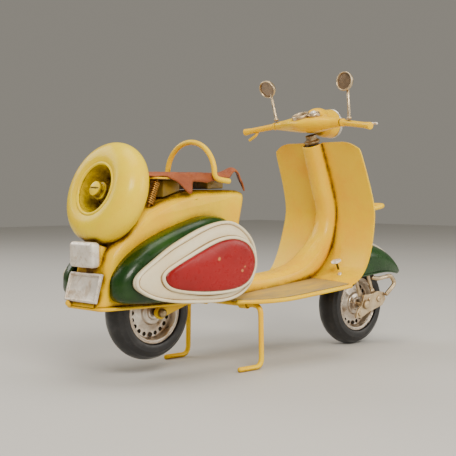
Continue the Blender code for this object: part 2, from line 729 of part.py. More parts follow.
def build_fork(steering):
    tilt = steering_direction()
    column = [(0, 0), (2.3, 0), (2.3, 59.8), (3.7, 60.1), (4.0, 61.0), (3.0, 61.6), (3.0, 62.7),
              (0, 62.7)]
    add_node("steering_column", lathe("steering_column", column, on_steering(52.8), tilt, 14),
             steering, GOLD, METAL)
    side = 7.9
    lift = tilt * (WHEEL_RADIUS + 2.8)
    axle = Vector((FRONT_AXLE[0], 0, FRONT_AXLE[1]))
    route = [axle + Vector((0, side, 0)) + tilt * 3.2, axle + Vector((0, side, 0)) + lift,
             axle + Vector((0, -side, 0)) + lift, axle + Vector((0, -side, 0)) + tilt * 5.0]
    add_node("front_fork", wire("front_fork", rounded_route(route, 3.0, 3), 1.0), steering, GOLD, METAL)
    rod = [Vector((151.4, -side, 28.6)), Vector((144.2, -side, 46.0))]
    add_node("front_damper", wire("front_damper", rod, 0.95), steering, GOLD, METAL)
    link = [(134.6, 15.4), (138.6, 14.9), (146.4, 18.0), (156.8, 20.6), (159.6, 23.6), (158.4, 27.6),
            (153.0, 28.6), (149.0, 27.4), (141.4, 27.2), (139.6, 22.0), (136.2, 19.4)]
    item = add_node("link_plate", plate("link_plate", link, -10.9, -9.7), steering, GOLD, METAL)
    hole = [Vector(FRONT_AXLE) + BORE_RADIUS * Vector((math.cos(a), math.sin(a)))
            for a in (2 * math.pi * i / 12 for i in range(12))]
    carve(item, hole, 12.5)
    loop = rounded_route([(150.2, -9.2, 35.9), (153.4, -10.4, 35.3), (162.8, -11.6, 36.6),
                          (166.8, -11.9, 32.2), (158.4, -12.3, 26.6)], 3.2, 4)
    add_node("suspension_loop", wire("suspension_loop", loop, 1.15), steering, GOLD, METAL)
    centre = (FRONT_AXLE[0], 0, FRONT_AXLE[1])
    profile = axle_profile(7.4, 11.2, 2.3)
    add_node("front_axle", lathe("front_axle", profile, centre, (0, 1, 0), 12), steering, GOLD, METAL)


def fender_section(angle, thickness):
    """The fender's cross-section at an angle around its centre: crown, then skirts."""
    first, last = math.radians(37.0), math.radians(153.0)
    swell = math.sin(math.pi * min(max((angle - first) / (last - first), 0.02), 0.98))
    depth = FENDER_DEPTH * swell ** 0.7
    half = FENDER_HALF_WIDTH * swell ** 0.42
    crown = min(depth * 0.55, half * 0.7)
    points = []
    for i in range(9):
        turn = math.radians(-90 + 180 * i / 8)
        points.append((math.sin(turn), crown * (1 - math.cos(turn))))
    points = [(-1.0, depth)] + points + [(1.0, depth)]
    outer = [(half * y, FENDER_RADIUS - drop) for y, drop in points]
    inner_share = (half - thickness) / half
    inner = [(half * y * inner_share, FENDER_RADIUS - max(drop, 0) - thickness * (1 if drop < depth else 0))
             for y, drop in points]
    ring = []
    for y, radius in outer + list(reversed(inner)):
        ring.append((FENDER_CENTRE[0] + radius * math.cos(angle), y,
                     FENDER_CENTRE[1] + radius * math.sin(angle)))
    return ring


def build_fender(steering):
    steps = 20
    angles = [math.radians(40.5 + (150.0 - 40.5) * i / steps) for i in range(steps + 1)]
    rings = [fender_section(angle, SHEET) for angle in angles]
    add_node("front_fender", loft("front_fender", rings), steering, GREEN)
    bead = 0.8
    radius = FENDER_RADIUS + GAP + bead
    top = math.atan2(51.2 - FENDER_CENTRE[1], on_steering(51.2).x - FENDER_CENTRE[0])
    clear = math.radians(4.5)
    route = [(FENDER_CENTRE[0] + radius * math.cos(a), 0, FENDER_CENTRE[1] + radius * math.sin(a))
             for a in (math.radians(39.5) + (top - clear - math.radians(39.5)) * i / 20 for i in range(21))]
    add_node("fender_trim", wire("fender_trim", route, bead), steering, CREAM)


def oval(x, y, z, half_x, half_z, count=16):
    return [(x + half_x * math.cos(a), y, z + half_z * math.sin(a))
            for a in (2 * math.pi * i / count for i in range(count))]


def build_headset(steering):
    stations = ((-22.3, 108.2, 118.0, 2.4, 2.2), (-16.0, 108.8, 118.0, 4.4, 2.8),
                (-9.0, 109.2, 118.0, 8.2, 3.8), (0.0, 109.4, 118.0, 10.6, 4.6),
                (9.0, 109.2, 118.0, 8.2, 3.8), (16.0, 108.8, 118.0, 4.4, 2.8),
                (22.3, 108.2, 118.0, 2.4, 2.2))
    rings = [oval(x, y, z, wide, tall) for y, x, z, wide, tall in stations]
    wing = add_node("headset", loft("headset", rings), steering, YELLOW)
    bowl = [(0, 0), (4.6, 0), (6.4, 2.0), (7.3, 6.0), (7.4, 11.0), (0, 11.0)]
    data = lathe("lamp_bowl", bowl, (114.0, 0, 118.7), (1, 0, 0.02), 20)
    settle(data, steering)
    lamp = bpy.data.objects.new("lamp_bowl", data)
    bpy.context.scene.collection.objects.link(lamp)
    lamp.parent = steering
    join = cut_with(wing, lamp)
    join.operation = "UNION"
    apply_and_drop(wing, join, lamp)
    ring = [(5.8, 0), (7.7, 0), (7.9, 1.2), (7.0, 2.6), (5.8, 2.2)]
    add_node("headlight_ring", lathe("headlight_ring", ring, (125.3, 0, 118.95), (1, 0, 0.02), 24),
             steering, CHROME, METAL)
    lens = [(0, 0), (5.5, 0), (5.3, 1.4), (3.2, 2.5), (0, 2.9)]
    add_node("headlight_lens", lathe("headlight_lens", lens, (125.3, 0, 118.95), (1, 0, 0.02), 16),
             steering, (0.8, 0.8, 0.75), (0.1, 0.0))
    dial = [(0, 0.1), (5.6, 0.1), (5.9, 0.7), (5.7, 1.6), (5.0, 1.6), (4.7, 1.0), (0, 1.0)]
    lean = Vector((-0.26, 0, 1)).normalized()
    add_node("speedometer", lathe("speedometer", dial, (105.6, -2.5, 123.3), lean, 20),
             steering, GOLD, METAL)
    for side, name in ((-1, "right"), (1, "left")):
        start = Vector((108.2, side * 22.6, 118.0))
        end = Vector((105.0, side * 44.3, 115.2))
        length = (end - start).length
        profile = [(0, GAP), (1.75, GAP), (1.5, 6.0), (1.45, length - 3), (1.9, length - 1.2),
                   (1.9, length), (0, length)]
        add_node(name + "_grip", lathe(name + "_grip", profile, start, end - start, 12),
                 steering, YELLOW)
    lever = rounded_route([(112.2, -20.0, 117.6), (112.4, -27.0, 117.4), (109.6, -44.3, 116.6)], 4, 3)
    add_node("right_lever", wire("right_lever", lever, 0.6), steering, SILVER, METAL)
    lever = rounded_route([(108.8, 33.4, 112.9), (107.6, 36.6, 112.4), (106.6, 41.0, 110.8)], 4, 3)
    add_node("left_lever", wire("left_lever", lever, 0.8), steering, YELLOW)


MIRRORS = (("right_mirror", (106.4, -29.2, 119.3), (105.9, -27.1, 138.2), (-1.0, -0.06, 0.05)),
           ("left_mirror", (106.4, 21.4, 120.7), (105.9, 27.1, 138.0), (-0.89, -0.15, -0.42)))


def build_mirror(name, foot, head, facing, group):
    """A shallow cup on a wire stem, joined as one piece."""
    cup = [(0, -2.3), (2.4, -2.2), (4.0, -1.3), (4.9, 0.6), (4.9, 1.4), (4.3, 1.4), (4.1, 0.3), (0, 0.3)]
    facing = Vector(facing)
    foot = Vector(foot)
    head = Vector(head)
    item = add_node(name, lathe(name, cup, head, facing, 20), group, GOLD, METAL)
    stem = [(0, 0), (1.2, 0), (1.2, 0.8), (0.75, 1.6), (0.75, (head - foot).length - 3.8),
            (0, (head - foot).length - 3.8)]
    data = lathe(name + "_stem", stem, foot, head - foot - facing.normalized() * 1.2, 8)
    settle(data, group)
    rod = bpy.data.objects.new(name + "_stem", data)
    bpy.context.scene.collection.objects.link(rod)
    rod.parent = group
    join = cut_with(item, rod)
    join.operation = "UNION"
    apply_and_drop(item, join, rod)


# ---------------------------------------------------------------- assembly

def build():
    clear_scene()
    frame = empty("frame", (-CENTRE_X, 0, 0))
    front_axle = Vector((FRONT_AXLE[0], 0, FRONT_AXLE[1]))
    rear_wheel = empty("rear_wheel_group", (REAR_AXLE[0], 0, REAR_AXLE[1]), frame)
    steering = empty("steering_group", front_axle, frame)
    front_wheel = empty("front_wheel_group", (0, 0, 0), steering)
    stand = empty("stand_group", (STAND_PIVOT[0], 0, STAND_PIVOT[1]), frame)
    pedal = empty("pedal_group", pedal_hinge(), frame)

    build_rear_body(frame)
    build_cowl(frame, -1, "right")
    build_cowl(frame, 1, "left")
    build_tail(frame)
    build_spare(frame)
    build_seat(frame)
    build_floor(frame)
    build_shield(frame)
    build_spine(frame)
    build_carrier(frame)
    build_stand(frame, stand)
    build_rear_arm(frame)
    build_pedal(pedal)
    build_wheel("rear", rear_wheel, REAR_AXLE)
    build_fork(steering)
    build_fender(steering)
    build_headset(steering)
    build_wheel("front", front_wheel, FRONT_AXLE)
    for name, foot, head, facing in MIRRORS:
        group = empty(name + "_group", Vector(foot) - front_axle, steering)
        build_mirror(name, foot, head, facing, group)


build()
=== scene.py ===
"""Hand-made tin scooter model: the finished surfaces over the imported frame."""
import math

import bmesh
import bpy
from mathutils import Matrix, Vector, noise


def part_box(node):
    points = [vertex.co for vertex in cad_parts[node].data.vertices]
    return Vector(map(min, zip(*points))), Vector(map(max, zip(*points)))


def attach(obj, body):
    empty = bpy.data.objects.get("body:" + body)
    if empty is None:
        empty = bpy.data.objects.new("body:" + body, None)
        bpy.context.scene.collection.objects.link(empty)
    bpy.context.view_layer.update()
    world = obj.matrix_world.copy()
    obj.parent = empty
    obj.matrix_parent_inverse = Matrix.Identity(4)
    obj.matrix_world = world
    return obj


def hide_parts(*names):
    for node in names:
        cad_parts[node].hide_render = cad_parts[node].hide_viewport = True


MM = 0.001
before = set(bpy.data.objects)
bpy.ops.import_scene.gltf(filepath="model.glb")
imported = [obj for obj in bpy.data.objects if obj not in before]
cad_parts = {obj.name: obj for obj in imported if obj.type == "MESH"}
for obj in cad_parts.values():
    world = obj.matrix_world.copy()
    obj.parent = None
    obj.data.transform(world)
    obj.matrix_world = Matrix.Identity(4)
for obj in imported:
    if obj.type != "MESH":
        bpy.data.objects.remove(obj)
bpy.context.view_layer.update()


def middle_of(node):
    low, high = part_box(node)
    return (low + high) / 2


REAR_HUB = middle_of("rear_rim")
FRONT_HUB = middle_of("front_rim")
WHEELBASE = (FRONT_HUB.x - REAR_HUB.x) / MM
WHEEL_RADIUS = FRONT_HUB.z / MM


def at(x, y, z):
    """Model millimetres, measured forward from the rear axle, to metres in the shared frame."""
    return Vector((REAR_HUB.x + x * MM, y * MM, z * MM))


# ---------------------------------------------------------------- paint and metal

class Finish:
    """One material, built up around its Principled shader."""

    def __init__(self, name, roughness, metallic=0.0, coat=0.0, coat_roughness=0.1):
        self.material = bpy.data.materials.new(name)
        self.material.use_nodes = True
        self.nodes = self.material.node_tree.nodes
        self.links = self.material.node_tree.links
        self.shader = self.nodes["Principled BSDF"]
        self.shader.inputs["Roughness"].default_value = roughness
        self.shader.inputs["Metallic"].default_value = metallic
        self.shader.inputs["Coat Weight"].default_value = coat
        self.shader.inputs["Coat Roughness"].default_value = coat_roughness
        self.place = self.nodes.new("ShaderNodeTexCoord").outputs["Object"]

    def add(self, kind, inputs=None, **settings):
        node = self.nodes.new(kind)
        for key, value in settings.items():
            setattr(node, key, value)
        for key, value in (inputs or {}).items():
            if isinstance(value, bpy.types.NodeSocket):
                self.links.new(value, node.inputs[key])
            else:
                node.inputs[key].default_value = value
        return node

    def stretch(self, x, y, z):
        """Object coordinates stretched along an axis, for brushed or streaky patterns."""
        return self.add("ShaderNodeMapping", {"Vector": self.place, "Scale": (x, y, z)}).outputs[0]

    def noise(self, scale, detail=3.0, rough=0.55, place=None, distortion=0.0):
        node = self.add("ShaderNodeTexNoise", {"Vector": place or self.place, "Scale": scale,
                                               "Detail": detail, "Roughness": rough,
                                               "Distortion": distortion})
        return node.outputs["Fac"]

    def cells(self, scale, feature="F1", place=None):
        node = self.add("ShaderNodeTexVoronoi", {"Vector": place or self.place, "Scale": scale},
                        feature=feature)
        return node.outputs["Distance"]

    def ramp(self, value, low, high, start=0.0, end=1.0):
        """Map a value between two limits onto a smooth step."""
        node = self.add("ShaderNodeMapRange", {"Value": value, "From Min": low, "From Max": high,
                                               "To Min": start, "To Max": end},
                        interpolation_type="SMOOTHSTEP")
        return node.outputs["Result"]

    def times(self, first, second):
        return self.add("ShaderNodeMath", {0: first, 1: second}, operation="MULTIPLY").outputs[0]

    def plus(self, first, second):
        return self.add("ShaderNodeMath", {0: first, 1: second}, operation="ADD",
                        use_clamp=True).outputs[0]

    def mix(self, amount, first, second):
        node = self.add("ShaderNodeMix", {"Factor": amount}, data_type="RGBA")
        for socket, value in ((node.inputs[6], first), (node.inputs[7], second)):
            if isinstance(value, bpy.types.NodeSocket):
                self.links.new(value, socket)
            else:
                socket.default_value = (*value, 1.0)
        return node.outputs[2]

    def crevice(self, reach, low=0.90, high=0.42):
        """Grows to one where neighbouring surfaces close in within a reach in millimetres."""
        node = self.add("ShaderNodeAmbientOcclusion", {"Distance": reach * MM}, samples=8)
        return self.ramp(node.outputs["AO"], high, low, 1.0, 0.0)

    def edge(self, width, low=0.998, high=0.97):
        """Grows to one on sharp edges, over a width in millimetres."""
        rounded = self.add("ShaderNodeBevel", {"Radius": width * MM}, samples=6).outputs[0]
        plain = self.add("ShaderNodeNewGeometry").outputs["Normal"]
        dot = self.add("ShaderNodeVectorMath", {0: rounded, 1: plain}, operation="DOT_PRODUCT")
        return self.ramp(dot.outputs["Value"], high, low, 1.0, 0.0)

    def distance(self, spot):
        """How far a point of the surface lies from a spot, in metres."""
        node = self.add("ShaderNodeVectorMath", {0: self.place, 1: spot}, operation="DISTANCE")
        return node.outputs["Value"]

    def axis(self, letter):
        return self.add("ShaderNodeSeparateXYZ", {0: self.place}).outputs[letter]

    def colour(self, value):
        if isinstance(value, bpy.types.NodeSocket):
            self.links.new(value, self.shader.inputs["Base Color"])
        else:
            self.shader.inputs["Base Color"].default_value = (*value, 1.0)

    def rough(self, value):
        self.links.new(value, self.shader.inputs["Roughness"])

    def metal(self, value):
        self.links.new(value, self.shader.inputs["Metallic"])

    def bump(self, height, depth, strength=1.0):
        """Raise the surface by a height pattern; depth is in millimetres."""
        node = self.add("ShaderNodeBump", {"Height": height, "Distance": depth * MM,
                                           "Strength": strength})
        self.links.new(node.outputs[0], self.shader.inputs["Normal"])


def enamel(name, main, deep, dirt_and_shade_colour, reach=3.0, dirt_and_corner_shade=0.75, gloss=0.32):
    """Hand-brushed gloss paint: a drifting tone, brown dirt and painted shade in the corners, faint ripples.
    """
    paint = Finish(name, 0.40, coat=gloss / 2, coat_roughness=0.12)
    paint.shader.inputs["Specular IOR Level"].default_value = gloss
    drift = paint.ramp(paint.noise(55, 4, 0.6), 0.35, 0.7)
    tone = paint.mix(drift, main, deep)
    # Brown dirt and painted shade where neighbouring surfaces close in, in patches.
    corner_shade_and_dirt = paint.times(paint.crevice(reach), paint.ramp(paint.noise(260, 5, 0.7), 0.2, 0.62, 0.35, 1.0))
    corner_shade_and_dirt = paint.times(corner_shade_and_dirt, dirt_and_corner_shade)
    speck = paint.ramp(paint.noise(900, 2, 0.5), 0.70, 0.78, 0.0, 0.45)
    smear = paint.ramp(paint.noise(120, 6, 0.75, distortion=0.6), 0.62, 0.85, 0.0, 0.35)
    tone = paint.mix(smear, tone, tuple(0.55 * a + 0.45 * b for a, b in zip(deep, dirt_and_shade_colour)))
    tone = paint.mix(paint.plus(corner_shade_and_dirt, paint.times(speck, 0.25)), tone, dirt_and_shade_colour)
    paint.colour(tone)
    paint.rough(paint.ramp(paint.noise(340, 4), 0.3, 0.8, 0.24, 0.46))
    ripple = paint.plus(paint.times(paint.noise(95, 2, 0.4), 0.8), paint.times(paint.noise(700, 3), 0.12))
    paint.bump(ripple, 0.22, 0.55)
    return paint


def worn_edges(paint, tone_under, width, share=0.8):
    """Let the layer under the paint show along edges, in patches."""
    base = paint.shader.inputs["Base Color"].links[0].from_socket
    patch = paint.times(paint.edge(width), paint.ramp(paint.noise(420, 5, 0.7), 0.42, 0.6))
    paint.colour(paint.mix(paint.times(patch, share), base, tone_under))
    return paint


BRIGHT_YELLOW = (1.0, 0.66, 0.0)
DEEP_YELLOW = (1.0, 0.55, 0.0)
BROWN_DIRT_AND_SHADE = (0.15, 0.055, 0.0)
SOFT_GLOSS = 0.18


def brush_yellow(name):
    """The yellow that covers most of the machine, with brown dirt and painted shade in its corners."""
    return enamel(name, BRIGHT_YELLOW, DEEP_YELLOW, BROWN_DIRT_AND_SHADE, 4.6, 1.0, SOFT_GLOSS)


def rub_yellow(paint):
    return worn_edges(paint, (0.40, 0.17, 0.01), 0.3, 0.35).material


def make_yellow():
    return rub_yellow(brush_yellow("yellow_enamel"))


def make_body_yellow():
    """Yellow enamel with dark painted shade on the top of the body, where the seat shades it."""
    paint = brush_yellow("body_yellow_enamel")
    base = paint.shader.inputs["Base Color"].links[0].from_socket
    height = paint.plus(paint.axis("Z"), paint.times(paint.noise(320, 4), 0.004))
    shoulder, crown = 74 * MM, 81 * MM
    # Painted shade on the body's top faces, strongest close under the seat.
    shade = paint.times(paint.crevice(13.0, 0.92, 0.55), paint.ramp(height, shoulder, crown))
    shade = paint.times(shade, paint.ramp(paint.noise(230, 4, 0.7), 0.25, 0.6, 0.55, 0.95))
    paint.colour(paint.mix(shade, base, (0.10, 0.045, 0.004)))
    return rub_yellow(paint)


def make_spare_yellow():
    # The wide reach paints dark brown shade into the recess round the hub.
    paint = enamel("spare_yellow_enamel", (1.0, 0.74, 0.0), (1.0, 0.66, 0.0),
                   (0.075, 0.028, 0.0), 11.0, 1.0, 0.2)
    return paint.material


def make_floor_wash():
    paint = Finish("floor_beige_wash", 0.48, coat=0.2, coat_roughness=0.3)
    streak = paint.noise(160, 5, 0.7, paint.stretch(0.35, 1.0, 1.0), 0.4)
    tone = paint.mix(paint.ramp(streak, 0.32, 0.68), (0.60, 0.40, 0.06), (0.36, 0.27, 0.14))
    tone = paint.mix(paint.ramp(paint.noise(70, 4), 0.5, 0.72, 0.0, 0.6), tone, (0.28, 0.21, 0.12))
    # Dark brown where neighbouring surfaces close in: dirt and painted shade.
    tone = paint.mix(paint.times(paint.crevice(3.5), 0.85), tone, (0.12, 0.06, 0.01))
    paint.colour(tone)
    paint.bump(paint.noise(500, 4), 0.08, 0.5)
    return paint.material


def make_green():
    paint = enamel("green_enamel", (0.006, 0.034, 0.004), (0.016, 0.062, 0.004), (0.003, 0.009, 0.002), 2.0)
    return worn_edges(paint, (0.20, 0.15, 0.08), 0.3, 0.14).material


def make_cream(name="cream_enamel"):
    paint = enamel(name, (0.86, 0.76, 0.52), (0.82, 0.68, 0.42), (0.36, 0.19, 0.06), 1.5, 0.9)
    return worn_edges(paint, (0.34, 0.17, 0.07), 0.25, 0.45).material


def make_bead_cream():
    paint = enamel("bead_cream_enamel", (0.88, 0.80, 0.58), (0.84, 0.72, 0.46), (0.30, 0.17, 0.06), 1.1, 0.9)
    return paint.material


def make_tan_line():
    paint = enamel("tan_line_enamel", (0.42, 0.25, 0.09), (0.30, 0.16, 0.05), (0.12, 0.05, 0.01), 1.0, 0.7)
    return paint.material


RED_CHIPS = ((17.2, 53.3, 1.5), (31.6, 47.4, 1.3), (33.2, 49.0, 1.1))
INLAY_FACE = -29.5


def make_red():
    """Red enamel, scratched towards its front, with three chips knocked out of the right inlay."""
    paint = enamel("red_enamel", (0.34, 0.0, 0.002), (0.26, 0.0, 0.001), (0.03, 0.0, 0.0), 2.6)
    base = paint.shader.inputs["Base Color"].links[0].from_socket
    forward = paint.ramp(paint.axis("X"), REAR_HUB.x + 6 * MM, REAR_HUB.x + 38 * MM, 0.15, 1.0)
    thin = paint.stretch(1.0, 1.0, 5.0)
    scratch = paint.ramp(paint.noise(700, 4, 0.75, thin, 1.6), 0.61, 0.66)
    scratch = paint.times(scratch, forward)
    tone = paint.mix(paint.times(scratch, 0.9), base, (0.66, 0.22, 0.16))
    chip = paint.ramp(paint.cells(75), 0.085, 0.045)
    chip = paint.times(chip, paint.ramp(paint.noise(130, 2), 0.56, 0.60))
    tone = paint.mix(chip, tone, (0.66, 0.36, 0.16))
    ragged = paint.times(paint.noise(650, 4), 1.4 * MM)
    for x, z, size in RED_CHIPS:
        gap = paint.plus(paint.distance(at(x, INLAY_FACE, z)), ragged)
        spot = paint.ramp(gap, size * MM, (size + 0.25) * MM, 1.0, 0.0)
        tone = paint.mix(paint.times(spot, 0.85), tone, (0.60, 0.27, 0.09))
    paint.colour(tone)
    return worn_edges(paint, (0.05, 0.006, 0.004), 0.25, 0.5).material


def make_metal(name, bright, dull, dirt_and_shade_colour, roughness, reach=2.5, corner_shade_and_dirt=0.8):
    """Plated metal with cloudy patches, and brown dirt with painted shade in its corners."""
    metal = Finish(name, roughness, metallic=1.0)
    cloud = metal.ramp(metal.noise(190, 5, 0.65), 0.35, 0.66)
    tone = metal.mix(cloud, bright, dull)
    # Brown dirt and painted shade where neighbouring surfaces close in.
    dirt_and_corner_shade = metal.times(metal.crevice(reach), metal.ramp(metal.noise(420, 4), 0.25, 0.6, 0.4, 1.0))
    dirt_and_corner_shade = metal.times(dirt_and_corner_shade, corner_shade_and_dirt)
    metal.colour(metal.mix(dirt_and_corner_shade, tone, dirt_and_shade_colour))
    metal.metal(metal.ramp(dirt_and_corner_shade, 0.0, 1.0, 1.0, 0.25))
    metal.rough(metal.ramp(metal.noise(300, 4, 0.6), 0.3, 0.75, roughness * 0.7, roughness * 1.7))
    metal.bump(metal.noise(420, 2, 0.4), 0.03, 0.25)
    return metal


def make_plate_silver():
    metal = make_metal("dull_silver", (0.96, 0.89, 0.80), (0.84, 0.76, 0.66), (0.30, 0.16, 0.06), 0.40)
    metal.metal(metal.ramp(metal.noise(200, 3), 0.3, 0.7, 0.30, 0.55))
    base = metal.shader.inputs["Base Color"].links[0].from_socket
    blotch = metal.ramp(metal.noise(150, 6, 0.75, distortion=0.8), 0.46, 0.62, 0.0, 0.65)
    metal.colour(metal.mix(blotch, base, (0.50, 0.35, 0.20)))
    return metal.material


def make_rubber():
    rubber = Finish("black_rubber", 0.42)
    dust = rubber.ramp(rubber.noise(260, 5, 0.7), 0.45, 0.8)
    rubber.colour(rubber.mix(dust, (0.011, 0.011, 0.013), (0.035, 0.033, 0.034)))
    rubber.rough(rubber.ramp(rubber.noise(180, 3), 0.3, 0.7, 0.30, 0.50))
    rubber.bump(rubber.noise(900, 3), 0.04, 0.5)
    return rubber.material


def make_leather():
    hide = Finish("raw_hide", 0.62, coat=0.1, coat_roughness=0.45)
    drift = hide.ramp(hide.noise(90, 5, 0.65, distortion=0.5), 0.3, 0.7)
    tone = hide.mix(drift, (0.27, 0.050, 0.010), (0.42, 0.105, 0.020))
    grain = hide.cells(1500, "DISTANCE_TO_EDGE")
    pore = hide.ramp(grain, 0.0, 0.16, 1.0, 0.0)
    tone = hide.mix(hide.times(pore, 0.45), tone, (0.16, 0.038, 0.010))
    tone = hide.mix(hide.times(hide.edge(0.5), 0.7), tone, (0.50, 0.17, 0.05))
    hide.colour(tone)
    wrinkle = hide.plus(hide.times(hide.noise(210, 5, 0.7, distortion=1.0), 0.7),
                        hide.times(hide.ramp(grain, 0.0, 0.3), 0.3))
    hide.bump(wrinkle, 0.3, 0.7)
    return hide.material


def make_glass(name, tint, roughness):
    """A silvered glass seen from its face; a brown tint in it is a painted reflection."""
    glass = Finish(name, roughness, metallic=0.55, coat=1.0, coat_roughness=0.03)
    cloud = glass.ramp(glass.noise(260, 4, 0.6), 0.3, 0.7)
    glass.colour(glass.mix(cloud, tint, tuple(0.62 * value for value in tint)))
    return glass.material


def make_pit_shade():
    # Near-black painted shade for the pits, where the real disc has holes right through.
    pit_paint = Finish("painted_pit_shade", 0.8)
    pit_paint.colour(pit_paint.mix(pit_paint.noise(300), (0.012, 0.009, 0.007), (0.035, 0.022, 0.012)))
    return pit_paint.material


def make_seat_shade_yellow():
    """Dark brownish yellow: painted shade for the pieces hidden under the seat."""
    paint = enamel("seat_shade_yellow_enamel", (0.30, 0.18, 0.01), (0.16, 0.10, 0.01), (0.04, 0.022, 0.004),
                   4.0, 0.9)
    return paint.material


def make_stand_yellow():
    """Yellow enamel that has rubbed off the wire at the tips of its toes."""
    paint = enamel("stand_yellow_enamel", BRIGHT_YELLOW, DEEP_YELLOW, (0.20, 0.08, 0.0), gloss=SOFT_GLOSS)
    base = paint.shader.inputs["Base Color"].links[0].from_socket
    toe_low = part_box("centre_stand")[0].x
    rub = paint.plus(paint.axis("X"), paint.times(paint.noise(420, 3), 0.0016))
    bare = paint.ramp(rub, toe_low + 1.9 * MM, toe_low + 2.6 * MM, 1.0, 0.0)
    paint.colour(paint.mix(bare, base, (0.84, 0.80, 0.74)))
    return paint.material


YELLOW = make_yellow()
BODY_YELLOW = make_body_yellow()
SPARE_YELLOW = make_spare_yellow()
STAND_YELLOW = make_stand_yellow()
SEAT_SHADE_YELLOW = make_seat_shade_yellow()
FLOOR_WASH = make_floor_wash()
GREEN = make_green()
CREAM = make_cream()
BEAD_CREAM = make_bead_cream()
TAN_LINE = make_tan_line()
RED = make_red()
SILVER = make_plate_silver()
CHROME = make_metal("aged_chrome", (0.74, 0.71, 0.66), (0.58, 0.52, 0.44),
                    (0.22, 0.12, 0.05), 0.26, 3.0).material
GOLD = make_metal("pale_gold_plate", (0.74, 0.60, 0.40), (0.56, 0.42, 0.25),
                  (0.20, 0.10, 0.04), 0.40).material
BRASS = make_metal("tarnished_brass", (0.55, 0.30, 0.07), (0.30, 0.14, 0.03),
                   (0.05, 0.02, 0.008), 0.40, 1.2).material
RUBBER = make_rubber()
COLLAR = make_metal("collar_bronze", (0.42, 0.33, 0.20), (0.28, 0.20, 0.11),
                    (0.10, 0.05, 0.02), 0.45).material
HIDE = make_leather()
# The brown tint is a painted reflection of wood.
PAINTED_REFLECTION_GLASS = make_glass("painted_reflection_glass", (0.34, 0.23, 0.14), 0.22)
LAMP_GLASS = make_glass("lamp_glass", (0.80, 0.79, 0.74), 0.08)
PIT_SHADE = make_pit_shade()


# ---------------------------------------------------------------- mesh tools

def mesh_of(name, bm, sharp=None, smooth=True):
    """Merge doubles, turn faces outward and keep edges above an angle crisp."""
    bmesh.ops.remove_doubles(bm, verts=bm.verts, dist=1e-6)
    bmesh.ops.recalc_face_normals(bm, faces=bm.faces)
    data = bpy.data.meshes.new(name)
    bm.to_mesh(data)
    bm.free()
    for polygon in data.polygons:
        polygon.use_smooth = smooth
    if sharp is not None:
        data.set_sharp_from_angle(angle=math.radians(sharp))
    return data


def show(name, data, finish, body, nodes=()):
    """Add one finished piece: it rides on a body and stands for its CAD nodes."""
    item = bpy.data.objects.new(name, data)
    bpy.context.scene.collection.objects.link(item)
    finishes = finish if isinstance(finish, (list, tuple)) else (finish,)
    if not data.materials:
        for material in finishes:
            data.materials.append(material)
    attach(item, body)
    if nodes:
        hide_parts(*nodes)
    return item


def lathe_bm(profile, centre, axis, segments=64, bm=None, closed=True):
    """Turn a (radius, along) profile in millimetres about an axis through a world point."""
    bm = bm or bmesh.new()
    turn = Vector(axis).to_track_quat("Z", "Y").to_matrix()
    rings = []
    for radius, along in profile:
        if radius < 1e-6:
            rings.append([bm.verts.new(centre + turn @ Vector((0, 0, along * MM)))])
            continue
        ring = []
        for i in range(segments):
            angle = 2 * math.pi * i / segments
            point = Vector((radius * math.cos(angle), radius * math.sin(angle), along)) * MM
            ring.append(bm.verts.new(centre + turn @ point))
        rings.append(ring)
    pairs = list(zip(rings, rings[1:]))
    if closed and len(rings[0]) > 1 and len(rings[-1]) > 1:
        pairs.append((rings[-1], rings[0]))
    for first, second in pairs:
        for i in range(segments):
            j = (i + 1) % segments
            corners = [first[i % len(first)], first[j % len(first)],
                       second[j % len(second)], second[i % len(second)]]
            unique = list(dict.fromkeys(corners))
            if len(unique) >= 3:
                bm.faces.new(unique)
    return bm


def rounded_profile(profile, radius, steps=3):
    """Round the corners of a (radius, along) profile, leaving its two ends."""
    out = [profile[0]]
    for before, corner, after in zip(profile, profile[1:], profile[2:]):
        a, b, c = Vector(before), Vector(corner), Vector(after)
        reach_a = min(radius, (a - b).length * 0.45)
        reach_c = min(radius, (c - b).length * 0.45)
        start = b + (a - b).normalized() * reach_a
        end = b + (c - b).normalized() * reach_c
        for i in range(steps + 1):
            t = i / steps
            out.append(tuple((1 - t) ** 2 * start + 2 * t * (1 - t) * b + t * t * end))
    out.append(profile[-1])
    return out


def rounded_route(points, radius, steps=6):
    """A bent wire's line: straight runs joined by arcs."""
    points = [Vector(point) for point in points]
    route = [points[0]]
    for before, corner, after in zip(points, points[1:], points[2:]):
        back = (before - corner).normalized()
        ahead = (after - corner).normalized()
        half = back.angle(ahead) / 2
        reach = min(radius / math.tan(half), (before - corner).length * 0.49,
                    (after - corner).length * 0.49)
        start = corner + back * reach
        end = corner + ahead * reach
        for i in range(steps + 1):
            t = i / steps
            route.append((1 - t) ** 2 * start + 2 * t * (1 - t) * corner + t * t * end)
    route.append(points[-1])
    return route


def flow(controls, count, closed=False):
    """A smooth line through a few control points of any size."""
    total = len(controls)
    spans = total if closed else total - 1
    line = []
    for k in range(count if closed else count + 1):
        place = min(k * spans / count, spans - 1e-9)
        i = int(place)
        t = place - i
        if closed:
            picks = [(i + n - 1) % total for n in range(4)]
        else:
            picks = [min(max(i + n - 1, 0), total - 1) for n in range(4)]
        p0, p1, p2, p3 = (Vector(controls[n]) for n in picks)
        line.append(0.5 * (2 * p1 + (p2 - p0) * t + (2 * p0 - 5 * p1 + 4 * p2 - p3) * t ** 2
                           + (3 * p1 - p0 - 3 * p2 + p3) * t ** 3))
    return line


